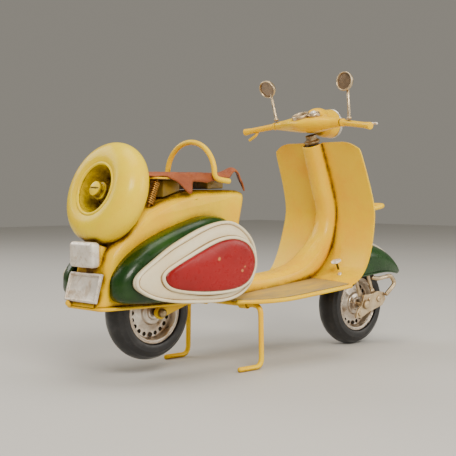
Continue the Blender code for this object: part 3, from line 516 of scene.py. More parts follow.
def tube_bm(route, radius, sides=14, bm=None, closed=False, dome=True):
    """A round rod along world points; radius in millimetres, or a function of the share along it."""
    bm = bm or bmesh.new()
    count = len(route)
    normal = None
    rings = []
    for k, point in enumerate(route):
        ahead = route[(k + 1) % count] if closed or k < count - 1 else point
        behind = route[k - 1] if closed or k > 0 else point
        heading = (ahead - behind).normalized()
        if normal is None:
            normal = heading.orthogonal().normalized()
        normal = (normal - heading * normal.dot(heading)).normalized()
        cross = heading.cross(normal)
        size = (radius(k / (count - 1)) if callable(radius) else radius) * MM
        rings.append([bm.verts.new(point + (normal * math.cos(a) + cross * math.sin(a)) * size)
                      for a in (2 * math.pi * i / sides for i in range(sides))])
    pairs = list(zip(rings, rings[1:]))
    if closed:
        pairs.append((rings[-1], rings[0]))
    for first, second in pairs:
        for i in range(sides):
            j = (i + 1) % sides
            bm.faces.new((first[i], first[j], second[j], second[i]))
    if not closed:
        for ring, tip, inner in ((rings[0], route[0], route[1]), (rings[-1], route[-1], route[-2])):
            cap_ring(bm, ring, tip, (tip - inner).normalized(), dome)
    return bm


def cap_ring(bm, ring, tip, heading, dome):
    """Close a ring with a low dome or a flat end."""
    size = (ring[0].co - tip).length
    rim = ring
    for lift, share in (((0.32, 0.86), (0.5, 0.5)) if dome else ()):
        inner = [bm.verts.new(tip + (vert.co - tip) * share + heading * size * lift) for vert in ring]
        for i in range(len(ring)):
            j = (i + 1) % len(ring)
            bm.faces.new((rim[i], rim[j], inner[j], inner[i]))
        rim = inner
    bm.faces.new(rim)


def grid_bm(rows, bm=None, wrap=False):
    """Skin a grid of world points; wrap joins each row's ends."""
    bm = bm or bmesh.new()
    grid = [[bm.verts.new(point) for point in row] for row in rows]
    width = len(grid[0])
    for first, second in zip(grid, grid[1:]):
        for i in range(width if wrap else width - 1):
            j = (i + 1) % width
            bm.faces.new((first[i], first[j], second[j], second[i]))
    return bm


def slab_bm(outline, low, high, plane, bm=None):
    """A flat plate: an XZ outline pushed along Y, or an XY outline pushed along Z."""
    bm = bm or bmesh.new()
    ends = []
    for level in (low, high):
        ends.append([bm.verts.new(at(a, level, b) if plane == "XZ" else at(a, b, level))
                     for a, b in outline])
    bm.faces.new(ends[0])
    bm.faces.new(ends[1])
    for i in range(len(outline)):
        j = (i + 1) % len(outline)
        bm.faces.new((ends[0][i], ends[0][j], ends[1][j], ends[1][i]))
    return bm


def soften(item, width, segments=3, angle=35):
    bevel = item.modifiers.new("Soft edges", "BEVEL")
    bevel.width = width * MM
    bevel.segments = segments
    bevel.limit_method = "ANGLE"
    bevel.angle_limit = math.radians(angle)
    bevel.harden_normals = False


def thicken(item, thickness, offset=-1.0):
    solid = item.modifiers.new("Sheet", "SOLIDIFY")
    solid.thickness = thickness * MM
    solid.offset = offset


# ---------------------------------------------------------------- repeating detail by geometry nodes

class Tree:
    """A geometry node tree with named inputs."""

    def __init__(self, name):
        self.group = bpy.data.node_groups.new(name, "GeometryNodeTree")
        self.sockets = {}
        self.group.interface.new_socket("Geometry", in_out="INPUT", socket_type="NodeSocketGeometry")
        self.group.interface.new_socket("Geometry", in_out="OUTPUT", socket_type="NodeSocketGeometry")
        self.entry = self.group.nodes.new("NodeGroupInput")
        self.exit = self.group.nodes.new("NodeGroupOutput")

    def input(self, name, kind, value):
        socket = self.group.interface.new_socket(name, in_out="INPUT", socket_type="NodeSocket" + kind)
        socket.default_value = value
        self.sockets[name] = socket.identifier
        return self.entry.outputs[name]

    def add(self, kind, inputs=None, **settings):
        node = self.group.nodes.new("GeometryNode" + kind if not kind.startswith("Function") else kind)
        for key, value in settings.items():
            setattr(node, key, value)
        for key, value in (inputs or {}).items():
            if isinstance(value, bpy.types.NodeSocket):
                self.group.links.new(value, node.inputs[key])
            else:
                node.inputs[key].default_value = value
        return node

    def end(self, geometry, material, selection=None):
        """Realize what is instanced and give it its finish."""
        real = self.add("RealizeInstances", {"Geometry": geometry}).outputs[0]
        paint = self.add("SetMaterial", {"Geometry": real, "Material": material})
        if selection is not None:
            self.group.links.new(selection, paint.inputs["Selection"])
        self.group.links.new(paint.outputs[0], self.exit.inputs[0])


def run_tree(tree, data, values):
    """Run a tree on a mesh and return the result as a plain mesh."""
    item = bpy.data.objects.new("worked", data)
    bpy.context.scene.collection.objects.link(item)
    modifier = item.modifiers.new("Work", "NODES")
    modifier.node_group = tree.group
    for name, value in values.items():
        modifier[tree.sockets[name]] = value
    bpy.context.view_layer.update()
    graph = bpy.context.evaluated_depsgraph_get()
    result = bpy.data.meshes.new_from_object(item.evaluated_get(graph), depsgraph=graph)
    item.modifiers.remove(modifier)
    bpy.data.objects.remove(item, do_unlink=True)
    return result


def punch_tree(name, plating):
    """Rings of blind holes pressed into both faces of a disc that lies in XY."""
    tree = Tree(name)
    count = tree.input("Holes", "Int", 18)
    ring = tree.input("Ring radius", "Float", 0.01)
    size = tree.input("Hole radius", "Float", 0.0008)
    level = tree.input("Face height", "Float", 0.002)
    depth = tree.input("Depth", "Float", 0.002)
    circle = tree.add("MeshCircle", {"Vertices": count, "Radius": ring})
    pin = tree.add("MeshCylinder", {"Vertices": 12, "Radius": size, "Depth": depth})
    rings = []
    for sign in (1.0, -1.0):
        up = tree.group.nodes.new("ShaderNodeMath")
        up.operation = "MULTIPLY"
        tree.group.links.new(level, up.inputs[0])
        up.inputs[1].default_value = sign
        offset = tree.group.nodes.new("ShaderNodeCombineXYZ")
        tree.group.links.new(up.outputs[0], offset.inputs[2])
        moved = tree.add("Transform", {"Geometry": circle.outputs[0], "Translation": offset.outputs[0]})
        placed = tree.add("InstanceOnPoints", {"Points": moved.outputs[0], "Instance": pin.outputs[0]})
        rings.append(placed.outputs[0])
    both = tree.add("JoinGeometry")
    for output in rings:
        tree.group.links.new(output, both.inputs[0])
    pins = tree.add("RealizeInstances", {"Geometry": both.outputs[0]}).outputs[0]
    # The pits' walls get near-black painted shade, in place of holes right through.
    pins = tree.add("SetMaterial", {"Geometry": pins, "Material": PIT_SHADE}).outputs[0]
    mark = tree.add("StoreNamedAttribute", {"Geometry": pins, "Name": "pit"},
                    data_type="BOOLEAN", domain="FACE")
    mark.inputs["Value"].default_value = True
    cut = tree.add("MeshBoolean", {"Mesh 1": tree.entry.outputs["Geometry"]}, operation="DIFFERENCE")
    tree.group.links.new(mark.outputs[0], cut.inputs["Mesh 2"])
    pit = tree.add("InputNamedAttribute", {"Name": "pit"}, data_type="BOOLEAN")
    clean = tree.add("FunctionNodeBooleanMath", {0: pit.outputs["Attribute"]}, operation="NOT")
    tree.end(cut.outputs[0], plating, clean.outputs[0])
    return tree


def coil_tree():
    """A close-wound spring standing on the origin along Z."""
    tree = Tree("wound_spring")
    turns = tree.input("Turns", "Float", 10.0)
    radius = tree.input("Coil radius", "Float", 0.0014)
    thick = tree.input("Wire radius", "Float", 0.0003)
    tall = tree.input("Height", "Float", 0.01)
    spiral = tree.add("CurveSpiral", {"Resolution": 20, "Rotations": turns, "Start Radius": radius,
                                      "End Radius": radius, "Height": tall})
    section = tree.add("CurvePrimitiveCircle", {"Resolution": 8, "Radius": thick})
    wound = tree.add("CurveToMesh", {"Curve": spiral.outputs[0], "Profile Curve": section.outputs[0],
                                     "Fill Caps": True})
    tree.end(wound.outputs[0], BRASS)
    return tree


def put(data, centre, axis):
    """Move a mesh made about the origin along Z to a world place and direction."""
    turn = Vector(axis).to_track_quat("Z", "Y").to_matrix().to_4x4()
    data.transform(Matrix.Translation(centre) @ turn)
    for polygon in data.polygons:
        polygon.use_smooth = True
    return data


def copy_of(node, finish, body, bevel=0.25, segments=3):
    """A finished piece made over a plain CAD plate: the same shape, welded, with soft edges."""
    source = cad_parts[node]
    bm = bmesh.new()
    bm.from_mesh(source.data)
    bm.transform(source.matrix_world)
    bmesh.ops.remove_doubles(bm, verts=bm.verts, dist=2e-6)
    bmesh.ops.dissolve_limit(bm, angle_limit=math.radians(2), verts=bm.verts, edges=bm.edges)
    data = mesh_of("fine_" + node, bm, 40)
    item = show("fine_" + node, data, finish, body, (node,))
    soften(item, bevel, segments)
    return item


# ---------------------------------------------------------------- rear body

BODY_HALF = 14.6
SHEET = 0.8
BODY_LINE = ((-36.0, 33.0), (-32.6, 44.6), (-29.0, 57.0), (-20.0, 66.2), (-9.3, 75.4), (3.5, 80.6),
             (12.0, 83.0), (25.0, 83.9), (39.5, 84.0), (46.0, 83.4), (48.4, 80.8), (46.2, 69.6),
             (43.3, 50.0), (41.0, 33.0))


def body_half_width(x):
    """The body narrows a little towards its tail."""
    return BODY_HALF - 2.1 * min(max((-x - 8.0) / 28.0, 0.0), 1.0)


def toward(points, middle, inset):
    """Draw a loop of (along, up) points in towards a middle by an inset."""
    return [point + (middle - point).normalized() * inset for point in points]


def build_rear_body():
    line = flow(BODY_LINE, 110)
    middle = Vector((8.0, 52.0))
    roundness = 4.4
    rows = []
    for side in (-1, 1):
        arcs = [math.pi / 2 * i / 7 for i in range(8)]
        if side < 0:
            arcs.reverse()
        for angle in arcs:
            ring = toward(line, middle, roundness * (1 - math.cos(angle)))
            ring[0] = Vector((ring[0].x, line[0].y))
            ring[-1] = Vector((ring[-1].x, line[-1].y))
            drop = roundness * (1 - math.sin(angle))
            rows.append([at(p.x, side * (body_half_width(q.x) - drop), p.y)
                         for p, q in zip(ring, line)])
    bm = bmesh.new()
    grid = [[bm.verts.new(point) for point in row] for row in rows]
    for first, second in zip(grid, grid[1:]):
        for i in range(len(first) - 1):
            bm.faces.new((first[i], first[i + 1], second[i + 1], second[i]))
    for cheek in (grid[0], grid[-1]):
        half = len(cheek) // 2
        for i in range(half):
            corners = (cheek[i], cheek[i + 1], cheek[-2 - i], cheek[-1 - i])
            if len(set(corners)) == 4:
                bm.faces.new(corners)
    shell = show("rear_body", mesh_of("rear_body", bm), BODY_YELLOW, "frame", ("rear_body_shell",))
    thicken(shell, SHEET)
    hem = []
    for x in (-35.4, -28.0, -14.0, 4.0, 22.0, 40.6):
        hem.append((x, body_half_width(x) + 0.15))
    route = [at(x, -y, 33.1) for x, y in reversed(hem)] + [at(x, y, 33.1) for x, y in hem]
    show("rear_body_hem", mesh_of("rear_body_hem", tube_bm(rounded_route(route, 3.0 * MM), 0.85, 12)),
         YELLOW, "frame")


COWL_WALL = BODY_HALF + 0.3
COWL_BASE = ((-32.6, 42.5), (-31.0, 48.5), (-24.0, 55.8), (-13.0, 62.2), (2.0, 67.8), (20.0, 72.2),
             (32.0, 70.0), (40.0, 61.5), (42.3, 50.0), (36.0, 38.5), (10.0, 34.8), (-18.0, 34.8),
             (-30.6, 36.8))
COWL_PANEL = ((-28.2, 44.6), (-26.0, 48.6), (-18.0, 54.0), (-6.0, 61.0), (10.0, 67.6), (24.4, 70.4),
              (34.0, 67.8), (41.6, 61.0), (44.3, 51.5), (41.2, 41.4), (33.0, 35.4), (20.0, 33.2),
              (0.0, 34.0), (-16.0, 36.8), (-25.6, 41.0))
COWL_INLAY = ((-13.0, 46.0), (-11.4, 48.9), (-4.2, 52.4), (8.0, 57.2), (19.0, 61.0), (28.0, 61.8),
              (36.0, 59.2), (40.3, 53.4), (40.0, 47.2), (35.6, 41.8), (27.0, 39.2), (12.0, 39.0),
              (-2.0, 40.3), (-10.0, 42.4))


def cowl_cup(controls, levels, side, crown, thickness, name, finish, nodes):
    """A pressed cup over an outline: stepped rings, then a gently crowned face."""
    outline = flow(controls, 120, closed=True)
    middle = sum(outline, Vector((0, 0))) / len(outline)
    rows = []
    for inset, y in levels:
        rows.append([at(p.x, side * y, p.y) for p in toward(outline, middle, inset)])
    inset, top = levels[-1]
    last = toward(outline, middle, inset)
    for share in (0.9, 0.75, 0.55, 0.3, 0.1):
        lift = top + crown * (1 - share ** 2)
        rows.append([at(*(middle + (p - middle) * share).to_tuple()[:1], side * lift,
                        (middle + (p - middle) * share).y) for p in last])
    bm = grid_bm(rows, wrap=True)
    bm.verts.ensure_lookup_table()
    bm.faces.new(bm.verts[-len(outline):])
    data = mesh_of(name, bm)
    item = show(name, data, finish, "frame", nodes)
    thicken(item, thickness)
    return item


def cowl_bead(controls, inset, y, side, radius, name, finish=None):
    """A rolled bead around an outline."""
    outline = flow(controls, 120, closed=True)
    middle = sum(outline, Vector((0, 0))) / len(outline)
    route = [at(p.x, side * y, p.y) for p in toward(outline, middle, inset)]
    data = mesh_of(name, tube_bm(route, radius, 12, closed=True))
    return show(name, data, finish or BEAD_CREAM, "frame", ())


def build_cowls():
    wall = COWL_WALL
    for side, prefix in ((-1, "right"), (1, "left")):
        base = [(0.0, wall), (0.1, wall + 2.2), (0.5, wall + 4.6), (1.6, wall + 6.7), (3.2, wall + 7.9),
                (5.4, wall + 8.7), (9.0, wall + 9.2)]
        cowl_cup(COWL_BASE, base, side, 0.0, SHEET, prefix + "_cowl_green", GREEN,
                 (prefix + "_cowl_base",))
        panel = [(0.5, wall + 9.5), (0.6, wall + 10.4), (0.95, wall + 11.2), (1.6, wall + 11.7),
                 (2.1, wall + 11.8), (2.4, wall + 11.6), (2.7, wall + 11.85), (6.0, wall + 12.6)]
        cowl_cup(COWL_PANEL, panel, side, 0.2, SHEET, prefix + "_cowl_cream", CREAM,
                 (prefix + "_cowl_panel",))
        inlay = [(0.0, wall + 13.3), (0.25, wall + 13.9), (0.9, wall + 14.3), (3.0, wall + 14.5)]
        cowl_cup(COWL_INLAY, inlay, side, 0.35, 0.5, prefix + "_cowl_red", RED,
                 (prefix + "_cowl_inlay",))
        cowl_bead(COWL_PANEL, 1.3, wall + 11.6, side, 0.7, prefix + "_cowl_rim_bead")
        cowl_bead(COWL_INLAY, -0.7, wall + 13.2, side, 0.85, prefix + "_cowl_inlay_bead")
        cowl_bead(COWL_INLAY, -1.9, wall + 12.62, side, 0.2, prefix + "_cowl_outer_line", TAN_LINE)
        cowl_bead(COWL_PANEL, 2.4, wall + 11.62, side, 0.22, prefix + "_cowl_inner_line", TAN_LINE)


# ---------------------------------------------------------------- spare wheel

SPARE_TILT = math.radians(18.7)
SPARE_OUT = Vector((-math.cos(SPARE_TILT), 0, math.sin(SPARE_TILT)))


def screw_slot(item, centre, axis, length, width, depth):
    """Cut a driver's slot into a bolt's head."""
    turn = Vector(axis).to_track_quat("Z", "Y").to_matrix().to_4x4()
    bm = bmesh.new()
    bmesh.ops.create_cube(bm, size=1.0)
    bulk = Matrix.Diagonal((length * MM, width * MM, depth * MM, 1))
    bm.transform(Matrix.Translation(centre) @ turn @ bulk)
    data = bpy.data.meshes.new(item.name + "_slot")
    bm.to_mesh(data)
    bm.free()
    cutter = bpy.data.objects.new(item.name + "_slot", data)
    bpy.context.scene.collection.objects.link(cutter)
    cut = item.modifiers.new("Slot", "BOOLEAN")
    cut.operation = "DIFFERENCE"
    cut.solver = "EXACT"
    cut.object = cutter
    bpy.context.view_layer.update()
    graph = bpy.context.evaluated_depsgraph_get()
    result = bpy.data.meshes.new_from_object(item.evaluated_get(graph), depsgraph=graph)
    item.modifiers.remove(cut)
    item.data = result
    bpy.data.objects.remove(cutter, do_unlink=True)
    item.data.set_sharp_from_angle(angle=math.radians(35))


SPARE_CENTRE = (-22.9, -0.7, 82.4)


def build_spare():
    """A hollow tyre open towards its hub, a stepped well, a slotted dish and a slotted bolt."""
    centre = at(*SPARE_CENTRE)
    ring, tube, wall = 15.4, 7.9, 0.9
    outer, inner = [], []
    for i in range(41):
        angle = math.radians(-34 + 248 * i / 40)
        outer.append((ring + tube * math.sin(angle), tube * math.cos(angle)))
        hollow = tube - wall
        inner.append((ring + hollow * math.sin(angle), hollow * math.cos(angle)))
    bm = lathe_bm(outer + list(reversed(inner)), centre, SPARE_OUT, 96)
    tyre = show("spare_tyre_shell", mesh_of("spare_tyre_shell", bm, 50), SPARE_YELLOW, "frame",
                ("spare_tyre",))
    soften(tyre, 0.3, 2, 60)
    bead = [(11.7 + 0.8 * math.cos(a), 6.9 + 0.8 * math.sin(a))
            for a in (2 * math.pi * i / 14 for i in range(14))]
    show("spare_lip", mesh_of("spare_lip", lathe_bm(bead, centre, SPARE_OUT, 96)), SPARE_YELLOW, "frame")
    well = [(11.1, 6.6), (10.8, 3.4), (10.0, 0.2), (8.6, -1.4), (8.3, -2.4), (9.8, -2.2), (11.2, 0.2),
            (11.5, 3.4), (11.6, 6.2)]
    bowl = lathe_bm(well, centre, SPARE_OUT, 72)
    show("spare_well", mesh_of("spare_well", bowl, 45), SPARE_YELLOW, "frame")
    dish = rounded_profile([(2.2, 2.6), (4.2, 2.2), (4.7, -0.4), (6.4, -1.4), (8.25, -1.5), (8.25, -2.4),
                            (7.0, -2.8), (3.8, -1.6), (3.4, 0.8), (2.2, 1.2)], 0.5, 3)
    flat_dish = mesh_of("spare_dish", lathe_bm(dish, Vector(), (0, 0, 1), 72), 50)
    slots = run_tree(SPARE_SLOTS, flat_dish, {"Holes": 7, "Ring radius": 6.7 * MM, "Hole radius": 0.95 * MM,
                                              "Face height": -1.5 * MM, "Depth": 1.7 * MM})
    show("spare_dish", put(slots, centre, SPARE_OUT), (SPARE_YELLOW, PIT_SHADE), "frame", ("spare_rim",))
    head = rounded_profile([(0, 8.2), (1.4, 8.1), (3.2, 7.6), (3.5, 6.6), (3.3, 5.6), (2.7, 5.2), (2.7, 4.6),
                            (4.1, 4.3), (4.3, 3.4), (3.8, 2.8), (1.8, 2.7), (1.8, -4.5), (0, -4.5)], 0.35, 3)
    bolt = show("spare_bolt_head", mesh_of("spare_bolt_head", lathe_bm(head, centre, SPARE_OUT, 40), 40),
                SPARE_YELLOW, "frame", ("spare_bolt",))
    screw_slot(bolt, centre + SPARE_OUT * 8.2 * MM, SPARE_OUT, 8.0, 0.9, 1.6)
    foot = centre / MM - SPARE_OUT * 4.8
    rise = Vector((19.7, 0, 18.4)).normalized()
    off = Vector((-rise.z, 0, rise.x))
    seat = Vector((REAR_HUB.x / MM - 12.0, 0, 73.1)) + off * 0.1
    route = rounded_route([foot, foot - SPARE_OUT * 3.2, seat + off * 3.2, seat], 1.5, 6)
    show("spare_post", mesh_of("spare_post", tube_bm([p * MM for p in route], 1.9, 18, dome=False)),
         YELLOW, "frame", ("spare_carrier",))


# ---------------------------------------------------------------- tail lamp and plate

def tail_point(height, outward):
    foot = Vector(BODY_LINE[0])
    rise = (Vector(BODY_LINE[2]) - foot).normalized()
    share = (height - foot.y) / rise.y
    return foot + rise * share + Vector((-rise.y, rise.x)) * outward


def rounded_box(low, high, radius, cuts=22):
    """A box between two corners whose edges are rounded by a radius in millimetres."""
    bm = bmesh.new()
    bmesh.ops.create_cube(bm, size=2.0)
    bmesh.ops.subdivide_edges(bm, edges=bm.edges[:], cuts=cuts, use_grid_fill=True)
    middle, half = (low + high) / 2, (high - low) / 2
    core = [max(half[k] - radius * MM, 0.05 * MM) for k in range(3)]
    for vert in bm.verts:
        spot = Vector([vert.co[k] * half[k] for k in range(3)])
        inner = Vector([min(max(spot[k], -core[k]), core[k]) for k in range(3)])
        out = spot - inner
        if out.length > 0:
            spot = inner + out.normalized() * min(half[k] - core[k] for k in range(3))
        vert.co = middle + spot
    return bm


def build_tail():
    low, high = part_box("tail_lamp")
    swell = Vector((0.3, 0.5, 0.3)) * MM
    lamp = mesh_of("tail_lamp_glass", rounded_box(low - swell, high + swell, 1.9))
    show("tail_lamp_glass", lamp, SILVER, "frame", ("tail_lamp",))
    copy_of("tail_lamp_housing", YELLOW, "frame", bevel=0.7, segments=4)
    hem = [at(-32.9, y, z) for y, z in ((-7.6, 51.4), (-7.6, 60.7), (7.6, 60.7), (7.6, 51.4), (-7.6, 51.4))]
    show("tail_lamp_hem", mesh_of("tail_lamp_hem", tube_bm(rounded_route(hem, 1.5 * MM, 5), 0.5, 10)),
         YELLOW, "frame")
    copy_of("plate_bracket", YELLOW, "frame", bevel=0.2)
    copy_of("number_plate", SILVER, "frame", bevel=0.25)
    rim = []
    for height, y in ((35.8, -10.7), (47.0, -10.7), (47.0, 10.7), (35.8, 10.7)):
        p = tail_point(height, 2.5)
        rim.append(at(p.x, y, p.y))
    rim.append(rim[0].copy())
    show("number_plate_rim", mesh_of("number_plate_rim", tube_bm(rounded_route(rim, 0.8 * MM, 4), 0.5, 10)),
         SILVER, "frame", ())
    p = tail_point(34.3, 1.4)
    knob = lathe_bm(rounded_profile([(0, -1.2), (1.3, -1.2), (1.6, 0), (1.3, 1.2), (0, 1.4)], 0.4),
                    at(p.x, 8.6, p.y), (-0.96, 0, 0.28), 24)
    show("plate_knob", mesh_of("plate_knob", knob), YELLOW, "frame")


# ---------------------------------------------------------------- seat

HIDE_TOP = 91.0
FLAP_FOLD = 14.6
FLAP_MIDDLE = 9.8
# The hide's edge from rear to front: place along the machine, and half of its width there.
HIDE_EDGE = ((-8.4, 11.0), (-5.0, 13.6), (2.0, 14.9), (12.0, 15.4), (22.0, 15.3), (32.0, 15.0),
             (40.0, 14.6), (45.0, 13.6), (48.4, 11.0))


def hide_point(u, v):
    """The hide over its pan: u runs rear to front, v from the right edge to the left."""
    x, half = flow_at(HIDE_EDGE, u)
    if u > 0.97 or u < 0.03:
        x += 0.5 * math.sin(v * 9)
    y = v * half + 0.35 * math.sin(x * 0.7) * abs(v)
    z = HIDE_TOP + 0.35 * math.sin(x * 0.31 + 1.0) * (1 - v * v) + 0.2 * math.sin(x * 0.9 + v * 3.0)
    edge = max(abs(v) - 0.84, 0) / 0.16
    hang = 1.2 + 1.6 * math.exp(-((x - 22.0) / 9.0) ** 2)
    z -= hang * edge ** 1.4
    if v < 0:
        # The right edge grows into a pointed flap, which folds down over the pan's rim.
        flap_reach = 5.2 if x < FLAP_MIDDLE else 2.4
        half += 5.2 * math.exp(-((x - FLAP_MIDDLE) / flap_reach) ** 2)
        y = v * half
        over = max(-y - FLAP_FOLD, 0)
        if over > 0:
            y = -FLAP_FOLD - 0.30 * over
            z -= 1.25 * over
            x += 0.35 * over
        # The front right corner rises in a curl and then hangs down.
        front = min(max((x - 38.0) / 10.0, 0) * max(-v - 0.2, 0) / 0.8, 1.0)
        z += 2.6 * math.sin(min(front * 1.7, 1.0) * math.pi) - 6.6 * max(front - 0.5, 0) / 0.5
        y -= 2.2 * front
    else:
        side = math.exp(-((x - 12) / 8.0) ** 2) * max(v - 0.7, 0) / 0.3
        z -= 2.4 * side ** 1.6
    return at(x, y, z + 0.15 * noise.noise(Vector((x * 0.4, y * 0.4, 2.0))))


def flow_at(table, share):
    """Read a table of points at a share of its length."""
    place = min(share * (len(table) - 1), len(table) - 1.000001)
    i = int(place)
    return [a + (b - a) * (place - i) for a, b in zip(table[i], table[i + 1])]


def build_seat():
    steps, across = 90, 54
    rows = [[hide_point(i / steps, 2 * j / across - 1) for j in range(across + 1)]
            for i in range(steps + 1)]
    hide = show("seat_hide", mesh_of("seat_hide", grid_bm(rows)), HIDE, "frame", ("seat_leather",))
    thicken(hide, 0.7, 1.0)
    outline = flow(((-6.5, -12.6), (-1.0, -14.4), (14.0, -13.6), (30.0, -13.2), (38.5, -9.0), (38.5, 9.0),
                    (30.0, 13.2), (14.0, 13.6), (-1.0, 14.4), (-6.5, 12.6)), 96, closed=True)
    sheet = show("seat_plate", mesh_of("seat_plate", slab_bm(outline, 88.9, 89.7, "XY"), 40), YELLOW,
                 "frame", ("seat_pan",))
    soften(sheet, 0.25, 3)
    copy_of("seat_rear_block", SEAT_SHADE_YELLOW, "frame", bevel=0.5)
    copy_of("seat_front_bracket", SEAT_SHADE_YELLOW, "frame", bevel=0.5)
    for side, name in ((-1, "right"), (1, "left")):
        foot = at(-7.4, side * 10.6, 77.7)
        head = at(-3.4, side * 10.6, 87.4)
        seed = bpy.data.meshes.new("spring_seed")
        wound = run_tree(COIL, seed, {"Turns": 11.0, "Coil radius": 1.55 * MM, "Wire radius": 0.42 * MM,
                                      "Height": (head - foot).length})
        show("seat_coil_" + name, put(wound, foot, head - foot), BRASS, "frame",
             ("seat_spring_" + name,))
        stub = tube_bm([foot + (head - foot) * -0.1, foot + (head - foot) * 1.1], 0.7, 12)
        show("seat_spring_pin_" + name, mesh_of("seat_spring_pin_" + name, stub), BRASS, "frame", ())
    arch = [(35.0, -17.0, 88.0), (29.6, -16.9, 88.7), (27.2, -16.75, 89.6)]
    for i in range(21):
        angle = math.pi * i / 20
        arch.append((26.3, -16.6 * math.cos(angle), 91.2 + 15.0 * math.sin(angle)))
    arch += [(27.2, 16.75, 89.6), (29.6, 16.9, 88.7), (35.0, 17.0, 88.0)]
    route = flow([at(*p) for p in arch], 130)
    show("seat_handle", mesh_of("seat_handle", tube_bm(route, 1.25, 20)), YELLOW, "frame", ("grab_handle",))


# ---------------------------------------------------------------- floor and shield

FLOOR_EDGE = ((36.5, 32.4, 20.0), (45.0, 32.3, 26.0), (58.0, 32.5, 29.0), (70.0, 33.3, 30.0),
              (88.0, 34.9, 31.0), (104.0, 36.3, 31.5))
SHIELD_EDGE = ((104.6, 36.4, 31.6), (109.0, 37.9, 31.8), (113.4, 41.0, 32.0), (117.5, 47.0, 32.2),
               (121.0, 56.0, 32.0), (123.8, 68.0, 31.3), (123.7, 76.0, 30.9), (120.5, 87.5, 30.3),
               (114.9, 102.5, 29.5), (113.8, 105.3, 27.6), (113.0, 107.4, 23.5), (112.7, 108.2, 19.0))
SLOT_HALF = 5.4


def build_floor():
    rows = []
    for x, z, half in flow(FLOOR_EDGE, 60):
        crown = 1.4 * min(max((x - 45.0) / 15.0, 0.0), 1.0)
        rows.append([at(x, half * v, z + crown * (1 - v * v)) for v in (k / 20 - 1 for k in range(41))])
    floor = show("floor_sheet", mesh_of("floor_sheet", grid_bm(rows)), FLOOR_WASH, "frame", ("floor_pan",))
    thicken(floor, SHEET, 1.0)
    for side, prefix in ((-1, "right"), (1, "left")):
        route = [at(x, side * (half + 1.3), z - 0.4) for x, z, half in flow(FLOOR_EDGE, 60)]
        show(prefix + "_floor_hem", mesh_of(prefix + "_floor_hem", tube_bm(route, 1.0, 16)), YELLOW,
             "frame", ("floor_trim_" + prefix,))


def build_shield():
    rows = []
    stations = flow(SHIELD_EDGE, 132)
    for x, z, half in stations:
        crown = 1.4 * min(max((45.0 - z) / 8.0, 0.0), 1.0)
        shares = [-half + (half - SLOT_HALF) * k / 14 for k in range(15)]
        shares += [-y for y in reversed(shares)]
        rows.append([at(x, y, z + crown * (1 - (y / half) ** 2)) for y in shares])
    bm = bmesh.new()
    grid = [[bm.verts.new(point) for point in row] for row in rows]
    for r, (first, second) in enumerate(zip(grid, grid[1:])):
        for i in range(len(first) - 1):
            if i == 14 and stations[r].y > 56.0:
                continue
            bm.faces.new((first[i], first[i + 1], second[i + 1], second[i]))
    shield = show("shield_sheet", mesh_of("shield_sheet", bm), YELLOW, "frame", ("leg_shield",))
    thicken(shield, SHEET, 1.0)
    soften(shield, 0.35, 3, 50)


STEER_TOP = (110.0, 112.0)


def on_steering(height):
    share = (height - WHEEL_RADIUS) / (STEER_TOP[1] - WHEEL_RADIUS)
    return Vector((WHEELBASE + share * (STEER_TOP[0] - WHEELBASE), 0, height))


STEER = (on_steering(STEER_TOP[1]) - on_steering(WHEEL_RADIUS)).normalized()
STEER_BACK = Vector((-STEER.z, 0, STEER.x))


def channel_rows(stations, points=25):
    """Half ovals standing off a surface: stations are (origin, out, half, depth, square, skirt)."""
    rows = []
    for origin, out, half, depth, square, skirt in stations:
        row = []
        if skirt:
            row.append(at(*(origin + Vector((0, -half, 0)) - out * 3.4)))
        for i in range(points):
            angle = math.pi * i / (points - 1)
            across = -math.copysign(abs(math.cos(angle)) ** square, math.cos(angle)) * half
            row.append(at(*(origin + Vector((0, across, 0)) + out * (depth * math.sin(angle) ** square))))
        if skirt:
            row.append(at(*(origin + Vector((0, half + 1.0, 0)) - out * 1.2)))
            row.append(at(*(origin + Vector((0, half + 3.4, 0)) - out * 2.6)))
        rows.append(row)
    return rows


def shield_front(height):
    for (x0, z0, _), (x1, z1, _) in zip(SHIELD_EDGE, SHIELD_EDGE[1:]):
        if z0 <= height <= z1:
            return x0 + (x1 - x0) * (height - z0) / (z1 - z0) + SHEET
    return SHIELD_EDGE[-1][0] + SHEET


def face_out(item, forward):
    """Turn a strip's faces so that its outside looks ahead or back."""
    facing = sum(polygon.normal.x * polygon.area for polygon in item.data.polygons)
    if (facing > 0) != forward:
        item.data.flip_normals()


